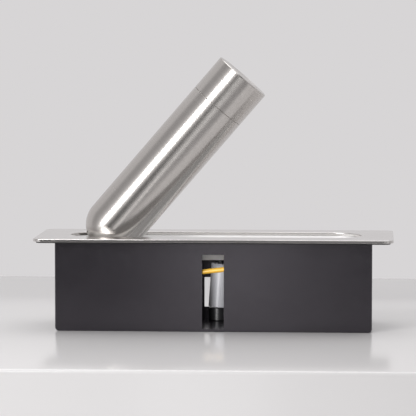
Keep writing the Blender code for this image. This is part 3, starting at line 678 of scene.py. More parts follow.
def brushedLook(name, values, turnedBy=None):
    look, tree, shader, where = startLook(name, values["rough"][0], values.get("metallic", 1.0), turnedBy)
    lines = use(tree, brushing, where, across=values["across"], along=values["along"])
    hands = use(tree, handling, where, patches=values["patches"], dust=values["dust"])
    worn = use(tree, edgeWear, where, amount=values["wear"])
    steel = tinted(tree, lines.outputs["Streaks"], values["dark"], values["light"])
    steel = tinted(tree, worn.outputs["Wear"], steel, values["edge"])
    steel = tinted(tree, hands.outputs["Dust"], steel, values["dustColour"])
    tree.links.new(steel, shader.inputs["Base Color"])
    rough = between(tree, lines.outputs["Bands"], *values["rough"])
    smear = between(tree, hands.outputs["Smear"], 0.0, values["smear"])
    tree.links.new(maths(tree, "ADD", rough, smear), shader.inputs["Roughness"])
    if values["stretch"]:
        shader.inputs["Anisotropic"].default_value = values["stretch"]
        tangent = tree.nodes.new("ShaderNodeTangent")
        tangent.direction_type = "UV_MAP"
        tangent.uv_map = "brush"
        tree.links.new(tangent.outputs["Tangent"], shader.inputs["Tangent"])
    bumped(tree, shader, lines.outputs["Height"], values["depth"])
    return look


def mouldedLook(name, values, turnedBy=None):
    # plastic, rubber and powder coat
    look, tree, shader, where = startLook(name, values["rough"][0], 0.0, turnedBy)
    shader.inputs["IOR"].default_value = values["ior"]
    shader.inputs["Specular Tint"].default_value = values["shine"]
    texture = use(tree, grain, where, size=values["size"])
    hands = use(tree, handling, where, patches=values["patches"], dust=values["dust"])
    worn = use(tree, edgeWear, where, amount=values["wear"])
    skin = tinted(tree, texture.outputs["Speckle"], values["dark"], values["light"])
    skin = tinted(tree, worn.outputs["Wear"], skin, values["edge"])
    skin = tinted(tree, hands.outputs["Dust"], skin, values["dustColour"])
    tree.links.new(skin, shader.inputs["Base Color"])
    rough = between(tree, hands.outputs["Smear"], *values["rough"])
    tree.links.new(rough, shader.inputs["Roughness"])
    bumped(tree, shader, texture.outputs["Height"], values["depth"])
    return look


tubeFinish = {
    "dark": (0.545, 0.520, 0.498),
    "light": (0.655, 0.630, 0.605),
    "edge": (0.74, 0.72, 0.70),
    "dustColour": (0.50, 0.48, 0.46),
    "rough": (0.20, 0.27),
    "smear": 0.03,
    "across": 4200.0,
    "along": 16.0,
    "stretch": 0.70,
    "depth": 0.0000018,
    "patches": 18.0,
    "dust": 0.05,
    "wear": 0.5,
}
plateFinish = {
    **tubeFinish,
    "dark": (0.68, 0.66, 0.645),
    "light": (0.74, 0.72, 0.705),
    "rough": (0.13, 0.18),
    "stretch": 0.0,
    "across": 3000.0,
    "along": 30.0,
    "depth": 0.000002,
}
linerFinish = {
    **plateFinish,
    "dark": (0.76, 0.75, 0.745),
    "light": (0.84, 0.83, 0.825),
    "rough": (0.36, 0.44),
    "metallic": 0.35,
}
zincFinish = {
    **plateFinish,
    "dark": (0.42, 0.42, 0.41),
    "light": (0.58, 0.58, 0.56),
    "rough": (0.28, 0.42),
    "across": 900.0,
    "along": 300.0,
    "depth": 0.00001,
    "dust": 0.35,
}
brassFinish = {
    **zincFinish,
    "dark": (0.62, 0.43, 0.17),
    "light": (0.80, 0.60, 0.28),
    "edge": (0.90, 0.72, 0.40),
    "rough": (0.22, 0.36),
    "dust": 0.1,
}
bronzeFinish = {
    **zincFinish,
    "dark": (0.40, 0.25, 0.12),
    "light": (0.58, 0.38, 0.20),
    "edge": (0.70, 0.50, 0.30),
    "rough": (0.34, 0.48),
}
powderFinish = {
    "ior": 1.8,
    "shine": (0.97, 0.91, 1.0, 1),
    "dark": (0.0070, 0.0060, 0.0082),
    "light": (0.0110, 0.0100, 0.0126),
    "edge": (0.035, 0.034, 0.037),
    "dustColour": (0.060, 0.057, 0.056),
    "rough": (0.20, 0.25),
    "size": 0.0005,
    "depth": 0.000014,
    "patches": 14.0,
    "dust": 0.18,
    "wear": 0.5,
}
blackFinish = {
    **powderFinish,
    "ior": 1.5,
    "shine": (1, 1, 1, 1),
    "dark": (0.0105, 0.0105, 0.0115),
    "light": (0.0170, 0.0170, 0.0185),
    "rough": (0.34, 0.46),
    "size": 0.0004,
    "depth": 0.00002,
    "dust": 0.12,
}
sleeveFinish = {
    **blackFinish,
    "dark": (0.40, 0.40, 0.42),
    "light": (0.50, 0.50, 0.53),
    "edge": (0.62, 0.62, 0.64),
    "dustColour": (0.35, 0.34, 0.33),
    "rough": (0.36, 0.48),
    "size": 0.0005,
    "depth": 0.00001,
}
rubberFinish = {
    **blackFinish,
    "dark": (0.015, 0.015, 0.015),
    "light": (0.030, 0.030, 0.029),
    "rough": (0.66, 0.82),
    "size": 0.0005,
    "depth": 0.00004,
    "dust": 0.3,
}
fibreFinish = {
    **rubberFinish,
    "dark": (0.16, 0.065, 0.035),
    "light": (0.30, 0.14, 0.08),
    "edge": (0.36, 0.20, 0.13),
    "rough": (0.62, 0.78),
    "size": 0.0009,
}
ivoryFinish = {
    **blackFinish,
    "dark": (0.66, 0.62, 0.50),
    "light": (0.76, 0.72, 0.62),
    "edge": (0.82, 0.79, 0.70),
    "dustColour": (0.50, 0.47, 0.40),
    "rough": (0.38, 0.52),
}
earthFinish = {
    **blackFinish,
    "dark": (0.60, 0.335, 0.022),
    "light": (0.68, 0.395, 0.030),
    "edge": (0.72, 0.45, 0.06),
    "dustColour": (0.40, 0.30, 0.12),
    "rough": (0.34, 0.46),
    "size": 0.0006,
    "stripe": (0.035, 0.110, 0.030),
    "stripeFrom": 0.36,  # share of the way round the wire
    "stripeTo": 0.64,
}


def stripedLook(name, values):
    # the moulded finish with a second colour along one side of the wire
    look = mouldedLook(name, values)
    tree = look.node_tree
    shader = tree.nodes["Principled BSDF"]
    skin = shader.inputs["Base Color"].links[0].from_socket
    around = tree.nodes.new("ShaderNodeUVMap")
    around.uv_map = "along"
    split = tree.nodes.new("ShaderNodeSeparateXYZ")
    tree.links.new(around.outputs["UV"], split.inputs[0])
    wrapped = maths(tree, "FRACT", split.outputs["Y"])
    after = maths(tree, "GREATER_THAN", wrapped, values["stripeFrom"])
    before = maths(tree, "LESS_THAN", wrapped, values["stripeTo"])
    stripe = maths(tree, "MULTIPLY", after, before)
    tree.links.new(tinted(tree, stripe, skin, values["stripe"]), shader.inputs["Base Color"])
    return look


alongTube = tubeSpace.inverted()
tubeSteel = brushedLook("tubeSteel", tubeFinish, alongTube)
plateSteel = brushedLook("plateSteel", plateFinish, Matrix.Rotation(math.pi / 2, 4, "Z"))
linerSteel = brushedLook("linerSteel", linerFinish)
zincSteel = brushedLook("zincSteel", zincFinish)
contactBrass = brushedLook("contactBrass", brassFinish, alongTube)
bearingBronze = brushedLook("bearingBronze", bronzeFinish)
powderCoat = mouldedLook("anthracitePowder", powderFinish)
blackPlastic = mouldedLook("blackPlastic", blackFinish)
greySleeve = mouldedLook("greySleeve", sleeveFinish)
blackRubber = mouldedLook("blackRubber", rubberFinish)
redFibre = mouldedLook("redFibre", fibreFinish)
ivoryPlastic = mouldedLook("ivoryPlastic", ivoryFinish)
earthSheath = stripedLook("earthSheath", earthFinish)
print("finishes made")


# worktop plate, its gasket and the collar round the opening

opening = {
    "length": collarHigh.x - collarLow.x - 2 * sheet,
    "width": collarHigh.y - collarLow.y - 2 * sheet,
    "lip": 0.0008,  # rolled edge where the plate turns into the opening
}
plate = {
    "corner": 0.010,
    "edge": 0.0008,
    "under": 0.0003,
    "thick": 0.0030,
    "studs": [(x, y) for x in (-0.100, 0.100) for y in (-0.0455, 0.0455)],
    "studRadius": 0.0020,
    "studFoot": 0.0825,
    "weld": 0.0007,
}


def roundedEdge(length, width, corner, radius, top, steps, inward):
    # outlines round a top edge: from the side up to the flat for an outer edge, or back down
    loops = []
    for step in range(steps + 1):
        turn = math.radians(90 * step / steps)
        shrink = radius * (1 - math.cos(turn)) * (-1 if inward else 1)
        loops.append((length - 2 * shrink, width - 2 * shrink, corner - shrink,
                      top - radius * (1 - math.sin(turn))))
    return loops[::-1] if inward else loops


def makePlate():
    length, width = plateHigh.x - plateLow.x, plateHigh.y - plateLow.y
    top = plateHigh.z
    bottom = top - plate["thick"]
    under = plate["under"]
    holeCorner = opening["width"] / 2 - 0.00005
    loops = [(length - 2 * under, width - 2 * under, plate["corner"] - under, bottom),
             (length, width, plate["corner"], bottom + under)]
    loops += roundedEdge(length, width, plate["corner"], plate["edge"], top, 5, False)
    loops += roundedEdge(opening["length"], opening["width"], holeCorner, opening["lip"], top, 5, True)
    loops += [(opening["length"], opening["width"], holeCorner, bottom)]
    bm = hooped(loops, flats=(7, len(loops) - 1))
    for x, y in plate["studs"]:
        radius = plate["studRadius"]
        foot = plate["studFoot"]
        profile = [(0, 0), (0, radius - 0.0004), (0.0004, radius),
                   (bottom - foot - plate["weld"], radius), (bottom - foot, radius + plate["weld"]),
                   (bottom - foot, 0)]
        stud = spun(profile, 32)
        stud.transform(pointed((x, y, foot), toZ))
        bm = added(bm, stud)
    piece("worktopPlate", bm, "tray", ["bezel_plate"], plateSteel)


def makeGasket():
    low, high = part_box("plate_gasket")
    length, width = high.x - low.x, high.y - low.y
    inner = 0.0008  # air round the tray's walls
    trayLength, trayWidth = trayHigh.x - trayLow.x + inner, trayHigh.y - trayLow.y + inner
    roll = 0.00025
    loops = [
        (length - 2 * roll, width - 2 * roll, 0.007 - roll, low.z),
        (length, width, 0.007, low.z + roll),
        (length, width, 0.007, high.z - roll),
        (length - 2 * roll, width - 2 * roll, 0.007 - roll, high.z),
        (trayLength, trayWidth, 0.0014, high.z),
        (trayLength, trayWidth, 0.0014, low.z),
    ]
    piece("sealStrip", hooped(loops, flats=(3, 5)), "tray", ["plate_gasket"], blackRubber)


collar = {
    "foot": 0.0004,
    "reliefTop": 0.0760,  # the wall stops here above the hinge
    "reliefFrom": -0.118,
}


def makeCollar():
    low, high = collarLow, collarHigh
    length, width = opening["length"], opening["width"]
    outerLength, outerWidth = high.x - low.x, high.y - low.y
    inner, outer = width / 2 - 0.00005, outerWidth / 2 - 0.00005
    roll = collar["foot"]
    loops = [
        (outerLength - 2 * roll, outerWidth - 2 * roll, outer - roll, low.z),
        (outerLength, outerWidth, outer, low.z + roll),
        (outerLength, outerWidth, outer, high.z),
        (length, width, inner, high.z),
        (length, width, inner, low.z + roll),
        (length + 2 * roll, width + 2 * roll, inner + roll, low.z),
    ]
    relief = block((low.x - 0.02, low.y - 0.01, low.z - 0.01),
                   (collar["reliefFrom"], high.y + 0.01, collar["reliefTop"]))
    piece("openingRim", carved(hooped(loops, 24), *cuts(relief)), "tray",
          ["opening_collar"], linerSteel)


makePlate()
makeGasket()
makeCollar()
print("plate, gasket and collar made")


# folded tray

tray = {
    "bend": 0.004,
    "seam": 0.001,
    "lip": 0.010,
    "frontSlot": (-0.0110, 0.0110, 0.0029, 0.0780),  # left, right, bottom, top
    "rearWindow": (-0.0148, 0.040, 0.0145, 0.0454),
    "slotCorner": 0.0006,
    "studHole": 0.0023,
    "screwHole": 0.0028,
    "footScrews": [(x, side * 0.042) for side in (-1, 1) for x in (-0.144, -0.120)],
    "saddleScrews": [(0.104, -0.027), (0.104, 0.027)],
}


def makeTray():
    x, y, top = trayHigh.x, trayHigh.y, trayHigh.z
    bend, seam, lip = tray["bend"], tray["seam"], tray["lip"]

    def atSeam(edge):
        return (atLevel(edge, 1, -y) or atLevel(edge, 1, y)) and not atLevel(edge, 2, top)

    shell = block(trayLow, trayHigh, rounded=((runs(1, 2, trayLow.z), bend, 10), (atSeam, seam, 4)))
    inside = block((sheet - x, sheet - y, sheet), (x - sheet, y - sheet, top - sheet),
                   rounded=((runs(1, 2, sheet), bend - sheet, 10),))
    mouth = block((sheet - x, lip + sheet - y, top / 2), (x - sheet, y - sheet - lip, top + 0.01),
                  rounded=((runs(2), 0.0012, 4),))
    cutters = [inside, mouth]
    for side, (left, right, low, high) in ((-1, tray["frontSlot"]), (1, tray["rearWindow"])):
        near, far = sorted((side * (y - 0.006), side * (y + 0.006)))
        cutters.append(block((left, near, low), (right, far, high),
                             rounded=((runs(1), tray["slotCorner"], 4),)))
    for stud in plate["studs"]:
        cutters.append(rod(tray["studHole"], (*stud, top - 0.01), (*stud, top + 0.01), 32))
    for screw in tray["footScrews"] + tray["saddleScrews"]:
        cutters.append(rod(tray["screwHole"], (*screw, -0.01), (*screw, 0.01), 32))
    piece("foldedTray", carved(shell, *cuts(*cutters)), "tray",
          ["housing_tray"], powderCoat)


makeTray()
print("tray made")


# screws and nuts

panScrew = {
    "head": 0.0045,
    "rise": 0.0030,
    "rim": 0.0012,
    "shank": 0.0024,
    "slot": 0.0010,
    "slotDepth": 0.0014,
}


def panHead(place, foot, size=panScrew):
    # a pan head on its seat, with its shank down to foot and a driver slot
    head, rise, rim, shank = size["head"], size["rise"], size["rim"], size["shank"]
    low = foot - place.z
    crown = [(rim + (rise - rim) * math.sin(turn), head * math.cos(turn) ** 0.75)
             for turn in [math.radians(90 * step / 8) for step in range(8)]]
    pitch = 0.0008
    thread = []
    depth = -0.0012
    while depth - pitch > low + pitch:
        thread += [(depth, shank), (depth - pitch / 2, shank - 0.00022)]
        depth -= pitch
    profile = [(rise, 0), *reversed(crown), (0, head), (0, shank), *thread,
               (low + 0.0004, shank - 0.0002), (low, shank - 0.0007), (low, 0)]
    bm = spun(profile, 40)
    bm.transform(pointed(place, toZ))
    half = size["slot"] / 2
    driver = block((place.x - 2 * head, place.y - half, place.z + rise - size["slotDepth"]),
                   (place.x + 2 * head, place.y + half, place.z + 2 * rise))
    return carved(bm, *cuts(driver))


def makePanScrews():
    numbered = [("bracket_screw", "bracketScrew", 4), ("saddle_screw", "saddleScrew", 2)]
    for nodeStem, stem, count in numbered:
        for index in range(1, count + 1):
            low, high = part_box(f"{nodeStem}_{index}")
            middle = (low + high) / 2
            seat = Vector((middle.x, middle.y, high.z - panScrew["rise"]))
            piece(f"{stem}{index}", panHead(seat, low.z), "tray",
                  [f"{nodeStem}_{index}"], zincSteel)


def hexNut(place, direction, across, depth, bore):
    # a hexagon with its corners turned off, bored through
    profile = [(0, 0), (0, across / 2 * 1.02), (depth * 0.10, across / 2 * 1.16),
               (depth * 0.90, across / 2 * 1.16), (depth, across / 2 * 1.02), (depth, 0)]
    turnedOff = spun(profile, 60)
    hexagon = spun([(0, 0), (0, across / math.sqrt(3)), (depth, across / math.sqrt(3)), (depth, 0)], 6)
    hole = spun([(-0.001, 0), (-0.001, bore), (depth + 0.001, bore), (depth + 0.001, 0)], 40)
    nut = carved(hexagon, ("INTERSECT", turnedOff), *cuts(hole))
    nut.transform(pointed(place, direction))
    return nut


def makeNuts():
    for index in range(1, 5):
        low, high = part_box(f"plate_nut_{index}")
        middle = (low + high) / 2
        nut = hexNut((middle.x, middle.y, high.z), -toZ, 0.007, high.z - low.z, tray["studHole"])
        piece(f"studNut{index}", nut, "tray", [f"plate_nut_{index}"], zincSteel)
    low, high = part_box("shaft_nut")
    nut = hexNut((hinge.x, high.y, hinge.z), -toY, 0.021, high.y - low.y, shaft["outer"] + gap)
    piece("shaftLocknut", nut, "tray", ["shaft_nut"], zincSteel)


# hinge: brackets, stop rod, hollow shaft and the parts that give it friction

bracket = {
    "halfWidth": 0.012,
    "crown": 0.010,
    "thick": 0.0025,
    "inner": 0.0316,
    "footReach": 0.0495,
    "footLeft": -0.1507,
    "footRight": -0.113,
    "fold": 0.0020,
    "soft": 0.0003,
}
stopRod = {
    "radius": 0.003,
    "fromHinge": (-0.0037, -0.0154),
}
shaft = {
    "outer": 0.0070,
    "bore": 0.0045,
    "front": -0.0430,
}


def makeBrackets():
    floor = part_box("pivot_bracket_front")[0].z
    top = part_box("pivot_bracket_front")[1].z
    thick, half, inner = bracket["thick"], bracket["halfWidth"], bracket["inner"]
    rodX = hinge.x + stopRod["fromHinge"][0]
    rodZ = hinge.z + stopRod["fromHinge"][1]
    for side, nodeName, name in ((-1, "pivot_bracket_front", "frontHingeBracket"),
                                 (1, "pivot_bracket_rear", "rearHingeBracket")):
        near, far = sorted((side * inner, side * (inner + thick)))
        upright = block((hinge.x - half, near, floor), (hinge.x + half, far, top), bracket["soft"],
                        ((runs(1, 2, top), bracket["crown"], 12),))
        near, far = sorted((side * (inner + 0.0001), side * bracket["footReach"]))

        def footCorner(edge):
            return alongAxis(edge, 2) and abs(edge.verts[0].co.y) > inner + thick

        foot = block((bracket["footLeft"], near, floor), (bracket["footRight"], far, floor + thick),
                     bracket["soft"], ((footCorner, 0.0030, 6),))
        corner = side * (inner + thick)
        near, far = sorted((corner - side * 0.0005, corner + side * bracket["fold"]))
        fillet = block((hinge.x - half + 0.0004, near, floor + thick - 0.0005),
                       (hinge.x + half - 0.0004, far, floor + thick + bracket["fold"]))
        hollow = rod(bracket["fold"],
                     (hinge.x - 0.05, corner + side * bracket["fold"], floor + thick + bracket["fold"]),
                     (hinge.x + 0.05, corner + side * bracket["fold"], floor + thick + bracket["fold"]), 32)
        fillet = carved(fillet, *cuts(hollow))
        start, end = side * 0.028, side * 0.040
        holes = [rod(shaft["outer"] + gap, (hinge.x, start, hinge.z), (hinge.x, end, hinge.z), 64),
                 rod(stopRod["radius"] + gap, (rodX, start, rodZ), (rodX, end, rodZ), 40)]
        for x, y in tray["footScrews"]:
            if y * side > 0:
                holes.append(rod(tray["screwHole"], (x, y, -0.01), (x, y, 0.02), 32))
        shape = carved(upright, *joins(foot, fillet), *cuts(*holes))
        piece(name, shape, "tray", [nodeName], zincSteel)
    low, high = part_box("stop_rod")
    bar = rod(stopRod["radius"], (rodX, low.y, rodZ), (rodX, high.y, rodZ), 40, 0.0005)
    piece("stopBar", bar, "tray", ["stop_rod"], zincSteel)


def washer(inner, outer, low, high, soft):
    # a ring about the hinge's axis
    bm = spun([(low, outer), (low, inner), (high, inner), (high, outer)], 64, True, soft)
    bm.transform(pointed(hinge, toY))
    return bm


def makeShaft():
    low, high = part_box("pivot_shaft")
    bore, outer = shaft["bore"], shaft["outer"]
    front, rear = low.y, high.y
    pitch = 0.001
    thread = []
    depth = front + 0.0006
    while depth < front + 0.0135:
        thread += [(depth, outer), (depth + pitch / 2, outer - 0.00035)]
        depth += pitch
    profile = [(front, bore), (front, outer - 0.0006), *thread, (depth, outer),
               (rear - 0.0004, outer), (rear, outer - 0.0004), (rear, bore + 0.0004),
               (rear - 0.0004, bore), (front + 0.0004, bore)]
    tube = spun(profile, 64, True)
    window = block((0.001, -0.004, -0.0045), (0.012, 0.004, 0.0045),
                   rounded=((runs(0), 0.0012, 4),))
    window.transform(Matrix.Rotation(-raised / 2, 4, "Y"))
    tube.transform(pointed((0, 0, 0), toY))
    tube = carved(tube, *cuts(window))
    tube.transform(Matrix.Translation(hinge))
    piece("hollowShaft", tube, "tray", ["pivot_shaft"], zincSteel)
    bore = outer + gap
    rings = (
        ("frontFrictionDisc", "friction_washer_front", 0.0112, "friction_fibre", redFibre),
        ("rearFrictionDisc", "friction_washer_rear", 0.0112, "friction_fibre", redFibre),
        ("thrustWasher", "shaft_washer", 0.0115, "zinc_steel", zincSteel),
    )
    for name, nodeName, radius, slotName, look in rings:
        low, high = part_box(nodeName)
        piece(name, washer(bore, radius, low.y, high.y, 0.00015), "tray", [nodeName], look)
    low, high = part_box("disc_spring")
    thick = 0.0007
    cone = [(low.y, 0.0110), (high.y - thick, bore), (high.y, bore), (low.y + thick, 0.0110)]
    spring = spun(cone, 64, True, 0.0001)
    spring.transform(pointed(hinge, toY))
    piece("discSpring", spring, "tray", ["disc_spring"], zincSteel)


makePanScrews()
makeNuts()
makeBrackets()
makeShaft()
print("fixings and hinge made")


# rest for the folded tube

saddle = {
    "shoulder": 0.004,
    "halfWidth": 0.021,
    "wall": 0.002,
    "soft": 0.0003,
}


def makeSaddle():
    low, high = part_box("rest_saddle")
    half, wall = saddle["halfWidth"], saddle["wall"]
    bridge = block((low.x, -half, low.z + saddle["soft"]), (high.x, half, high.z),
                   rounded=((runs(0, 2, high.z), saddle["shoulder"], 10),))
    feet = block((low.x + 0.0001, low.y, low.z), (high.x - 0.0001, high.y, low.z + wall), saddle["soft"])
    arch = block((low.x - 0.01, wall - half, low.z - 0.01), (high.x + 0.01, half - wall, high.z - wall),
                 rounded=((runs(0, 2, high.z - wall), saddle["shoulder"] - wall, 8),))
    holes = [rod(tray["screwHole"], (x, y, -0.01), (x, y, 0.01), 32) for x, y in tray["saddleScrews"]]
    piece("tubeRest", carved(bridge, *joins(feet), *cuts(arch, *holes)), "tray",
          ["rest_saddle"], zincSteel)
    low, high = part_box("rest_pad")
    pad = block(low, high, 0.0004)
    hollow = rod(tubeSize["radius"] + gap, (low.x - 0.01, 0, hinge.z), (high.x + 0.01, 0, hinge.z), 128)
    piece("restCushion", carved(pad, *cuts(hollow)), "tray", ["rest_pad"], blackRubber)


# terminal box, cable gland and the riser that carries the tube's lead

terminals = {
    "wall": 0.002,
    "corner": 0.002,
    "soft": 0.0003,
    "postRadius": 0.0035,
    "postHole": 0.0018,
    "gland": (0.017, 0.014),  # y and z of the gland's axis
    "glandHole": 0.0063,
    "firstWay": 0.0165,
    "wayPitch": 0.009,
    "wells": (0.062, 0.072),
    "screwWell": 0.0024,
    "wireHole": 0.0018,
}


def makeTerminalBox():
    low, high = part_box("terminal_box")
    wall = terminals["wall"]
    corner = ((runs(2), terminals["corner"], 8),)
    coverLow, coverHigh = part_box("terminal_cover")
    posts = [(low.x + 0.006, high.y - 0.006), (high.x - 0.006, low.y + 0.006)]
    inside = block(low + Vector((wall, wall, wall)), (high.x - wall, high.y - wall, high.z + 0.01),
                   rounded=((runs(2), 0.0006, 4),))
    shape = [*cuts(inside)]
    shape += joins(*[rod(terminals["postRadius"], (*post, low.z + 0.0005), (*post, high.z - gap), 40)
                     for post in posts])
    shape += cuts(*[rod(terminals["postHole"], (*post, 0.012), (*post, 0.04), 32) for post in posts])
    glandY, glandZ = terminals["gland"]
    shape += cuts(rod(terminals["glandHole"], (low.x - 0.01, glandY, glandZ),
                      (low.x + 0.01, glandY, glandZ), 48))
    piece("terminalCase", carved(block(low, high, terminals["soft"], corner), *shape), "tray",
          ["terminal_box"], blackPlastic)
    cover = block(coverLow, coverHigh, terminals["soft"], corner)
    holes = [rod(terminals["postHole"], (*post, 0.02), (*post, 0.04), 32) for post in posts]
    piece("terminalLid", carved(cover, *cuts(*holes)), "tray", ["terminal_cover"],
          blackPlastic)
    small = {**panScrew, "head": 0.0028, "rise": 0.0014, "rim": 0.0005, "shank": 0.0015,
             "slot": 0.0006, "slotDepth": 0.0007}
    for index, post in enumerate(posts, 1):
        screwLow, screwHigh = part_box(f"cover_screw_{index}")
        seat = Vector((*post, screwHigh.z - small["rise"]))
        piece(f"lidScrew{index}", panHead(seat, screwLow.z, small), "tray",
              [f"cover_screw_{index}"], zincSteel)
    low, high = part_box("terminal_block")
    strip = block(low, high, 0.0002, ((runs(2), 0.001, 4),))
    holes = []
    for index in range(3):
        y = terminals["firstWay"] + terminals["wayPitch"] * index
        holes += [rod(terminals["screwWell"], (x, y, 0.010), (x, y, 0.03), 32) for x in terminals["wells"]]
        holes.append(rod(terminals["wireHole"], (0.05, y, 0.0078), (0.09, y, 0.0078), 32))
    piece("terminalStrip", carved(strip, *cuts(*holes)), "tray", ["terminal_block"],
          ivoryPlastic)


gland = {
    "length": 0.0160,
    "collar": 0.0060,
    "thread": 0.0060,
    "rim": 0.0080,
    "bore": 0.0036,
    "soft": 0.0003,
    "mouth": 0.0042,
    "nut": 0.0085,
    "dome": (-0.0070, -0.0110, -0.0115),  # where the nut's dome starts, rounds over and ends
    "grips": 12,
    "gripRadius": 0.0011,
    "gripReach": 0.0092,
    "gripEnd": -0.0062,
}


def makeGland():
    glandY, glandZ = terminals["gland"]
    place = Vector((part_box("supply_gland")[0].x, glandY, glandZ))
    collarEnd, length, bore = gland["collar"], gland["length"], gland["bore"]
    profile = [(length, gland["thread"]), (collarEnd, gland["thread"]), (collarEnd, gland["rim"]),
               (0, gland["rim"]), (0, bore), (length, bore)]
    body = spun(profile, 64, True, gland["soft"])
    body.transform(pointed(place, toX))
    piece("cableGland", body, "tray", ["supply_gland"], blackPlastic)
    mouth, outer = gland["mouth"], gland["nut"]
    domeStart, domeEnd, domeTip = gland["dome"]
    cap = [(-gap, mouth), (-gap, outer), (domeStart, outer), (domeEnd, outer - 0.0020),
           (domeTip, outer - 0.0025), (domeTip, mouth)]
    nut = spun(cap, 64, True, gland["soft"])
    grips = []
    for index in range(gland["grips"]):
        turn = 2 * math.pi * index / gland["grips"]
        y, z = gland["gripReach"] * math.cos(turn), gland["gripReach"] * math.sin(turn)
        grips.append(rod(gland["gripRadius"], (gland["gripEnd"], y, z), (0.001, y, z), 16))
    nut = carved(nut, *cuts(*grips))
    nut.transform(pointed(place, toX))
    piece("glandDome", nut, "tray", ["gland_nut"], blackPlastic)


riser = {
    "foot": (-0.0010, 0.041, 0.0151),
    "head": (0.0023, 0.041, 0.0610),
    "radius": 0.0092,
    "wall": 0.0016,
    "elbowRadius": 0.0062,
    "shoulderRadius": 0.0065,
    "uprightRadius": 0.0086,
    "elbowHeight": 0.0085,
}


def makeRiser():
    foot, head = Vector(riser["foot"]), Vector(riser["head"])
    height = riser["elbowHeight"]
    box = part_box("terminal_box")[0]
    level = rod(riser["elbowRadius"], (box.x - gap, foot.y, height), (foot.x, foot.y, height), 64, 0.0003)
    shoulder = rod(riser["shoulderRadius"], (foot.x + 0.0074, foot.y, height),
                   (box.x - 0.017, foot.y, height), 64, 0.0002)
    upright = rod(riser["uprightRadius"], (foot.x, foot.y, 0.0019), (foot.x, foot.y, foot.z - gap), 64,
                  0.0005)
    piece("elbowFitting", carved(level, *joins(shoulder, upright)), "tray",
          ["riser_elbow"], blackPlastic)
    length = (head - foot).length
    inner = riser["radius"] - riser["wall"]
    sleeve = spun([(0.0006, riser["radius"]), (0.0006, inner), (length, inner),
                   (length, riser["radius"])], 96, True, 0.0005)
    sleeve.transform(pointed(foot, head - foot))
    piece("riserTube", sleeve, "tray", ["riser_sleeve"], greySleeve)


leads = {
    "lead": 0.0030,
    "earth": 0.0025,
    "spacing": 0.003,
}
# the tube's lead and the plate's earth wire, held by clip, riser, hinge and rings
leadRoute = [
    (0.0004, 0.0410, 0.0350), (0.0015, 0.0410, 0.0500), (0.0023, 0.0414, 0.0610),
    (-0.0020, 0.0436, 0.0700), (-0.0120, 0.0450, 0.0735), (-0.0300, 0.0460, 0.0735),
    (-0.0600, 0.0460, 0.0735), (-0.0850, 0.0460, 0.0727), (-0.1050, 0.0464, 0.0690),
    (-0.1180, 0.0466, 0.0645), (-0.1265, 0.0466, 0.0632), (-0.1349, 0.0430, 0.0632),
    (-0.1386, 0.0345, 0.0632), (-0.1390, 0.0240, 0.0632), (-0.1390, 0.0090, 0.0632),
]
earthLow = Vector((-0.120, -0.042, 0.0050))
earthHigh = Vector((0.100, -0.0455, 0.0887))
earthRoute = [
    earthLow + Vector((0.0132, 0, 0.0032)), (-0.0980, -0.0420, 0.0120), (-0.0800, -0.0425, 0.0270),
    (-0.0580, -0.0425, 0.0444), (-0.0340, -0.0420, 0.0554), (-0.0110, -0.0420, 0.0599),
    (0.0110, -0.0420, 0.0625), (0.0350, -0.0420, 0.0667), (0.0580, -0.0430, 0.0734),
    (0.0760, -0.0440, 0.0805), earthHigh + Vector((-0.0132, 0.0008, -0.00475)),
]


def makeLeads():
    lead = swept(smoothed(leadRoute, leads["spacing"]), leads["lead"], 24)
    piece("tubeLead", lead, "tray", ["tube_lead"], blackPlastic)
    earth = swept(smoothed(earthRoute, leads["spacing"]), leads["earth"], 24)
    piece("earthWire", earth, "tray", ["earth_wire"], earthSheath)
    low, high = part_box("lead_clip")
    clip = block(low, high, 0.0003, ((runs(0), 0.002, 6),))
    hole = rod(leads["lead"] + 2 * gap, (low.x - 0.01, 0.0460, 0.0735), (high.x + 0.01, 0.0460, 0.0735), 40)
    piece("leadSaddle", carved(clip, *cuts(hole)), "tray", ["lead_clip"], blackPlastic)
    rings = (
        ("earthEyeLow", "earth_ring_bracket", earthLow, Vector((0.0128, 0, 0.0031)), 0.0029),
        ("earthEyeHigh", "earth_ring_plate", earthHigh, Vector((-0.0128, 0.0008, -0.0046)), 0.0023),
    )
    for name, nodeName, centre, barrel, bore in rings:
        up = 0.0004 * toZ
        eye = rod(0.0045, centre - up, centre + up, 48, 0.0001)
        crimp = rod(leads["earth"], centre + barrel * 0.5, centre + barrel, 32, 0.0002)
        side = math.copysign(1, barrel.x)
        left, right = sorted((side * 0.0034, side * 0.0088))
        tongue = block(centre + Vector((left, -0.0016, -0.0004)), centre + Vector((right, 0.0016, 0.0004)))
        hole = rod(bore, centre - 5 * up, centre + 5 * up, 40)
        shape = carved(eye, *joins(tongue, crimp), *cuts(hole))
        piece(name, shape, "tray", [nodeName], zincSteel)


# the tube: everything here is shaped along x from the hinge, then turned up

tubeSize = {
    "radius": 0.030,
    "dome": 0.0540,  # centre of the domed end
    "domeHole": 0.0106,
    "seam": 0.2154,
    "end": 0.2554,
    "chamfer": 0.0013,
    "spigot": 0.008,
    "discRadius": 0.018,
    "discThick": 0.0015,
    "sides": 160,
}
sockets = {
    "middle": 0.1387,
    "pitch": 0.045,
    "face": 0.0182,
    "length": 0.1364,
    "width": 0.0452,
    "depth": 0.0102,
    "corner": 0.0057,
    "cup": 0.0210,
    "recess": 0.01975,
    "recessDepth": 0.0175,
    "floor": 0.0020,
    "pins": 0.019,
    "pinHole": 0.0028,
}
places = [sockets["middle"] + sockets["pitch"] * step for step in (-1, 0, 1)]
carrierScrews = [(sockets["middle"] - side * sockets["pitch"] / 2, side * 0.0175) for side in (1, -1)]


def tubePiece(name, bm, replaced, look):
    return piece(name, bm, "tube", replaced, look, tubeSpace)


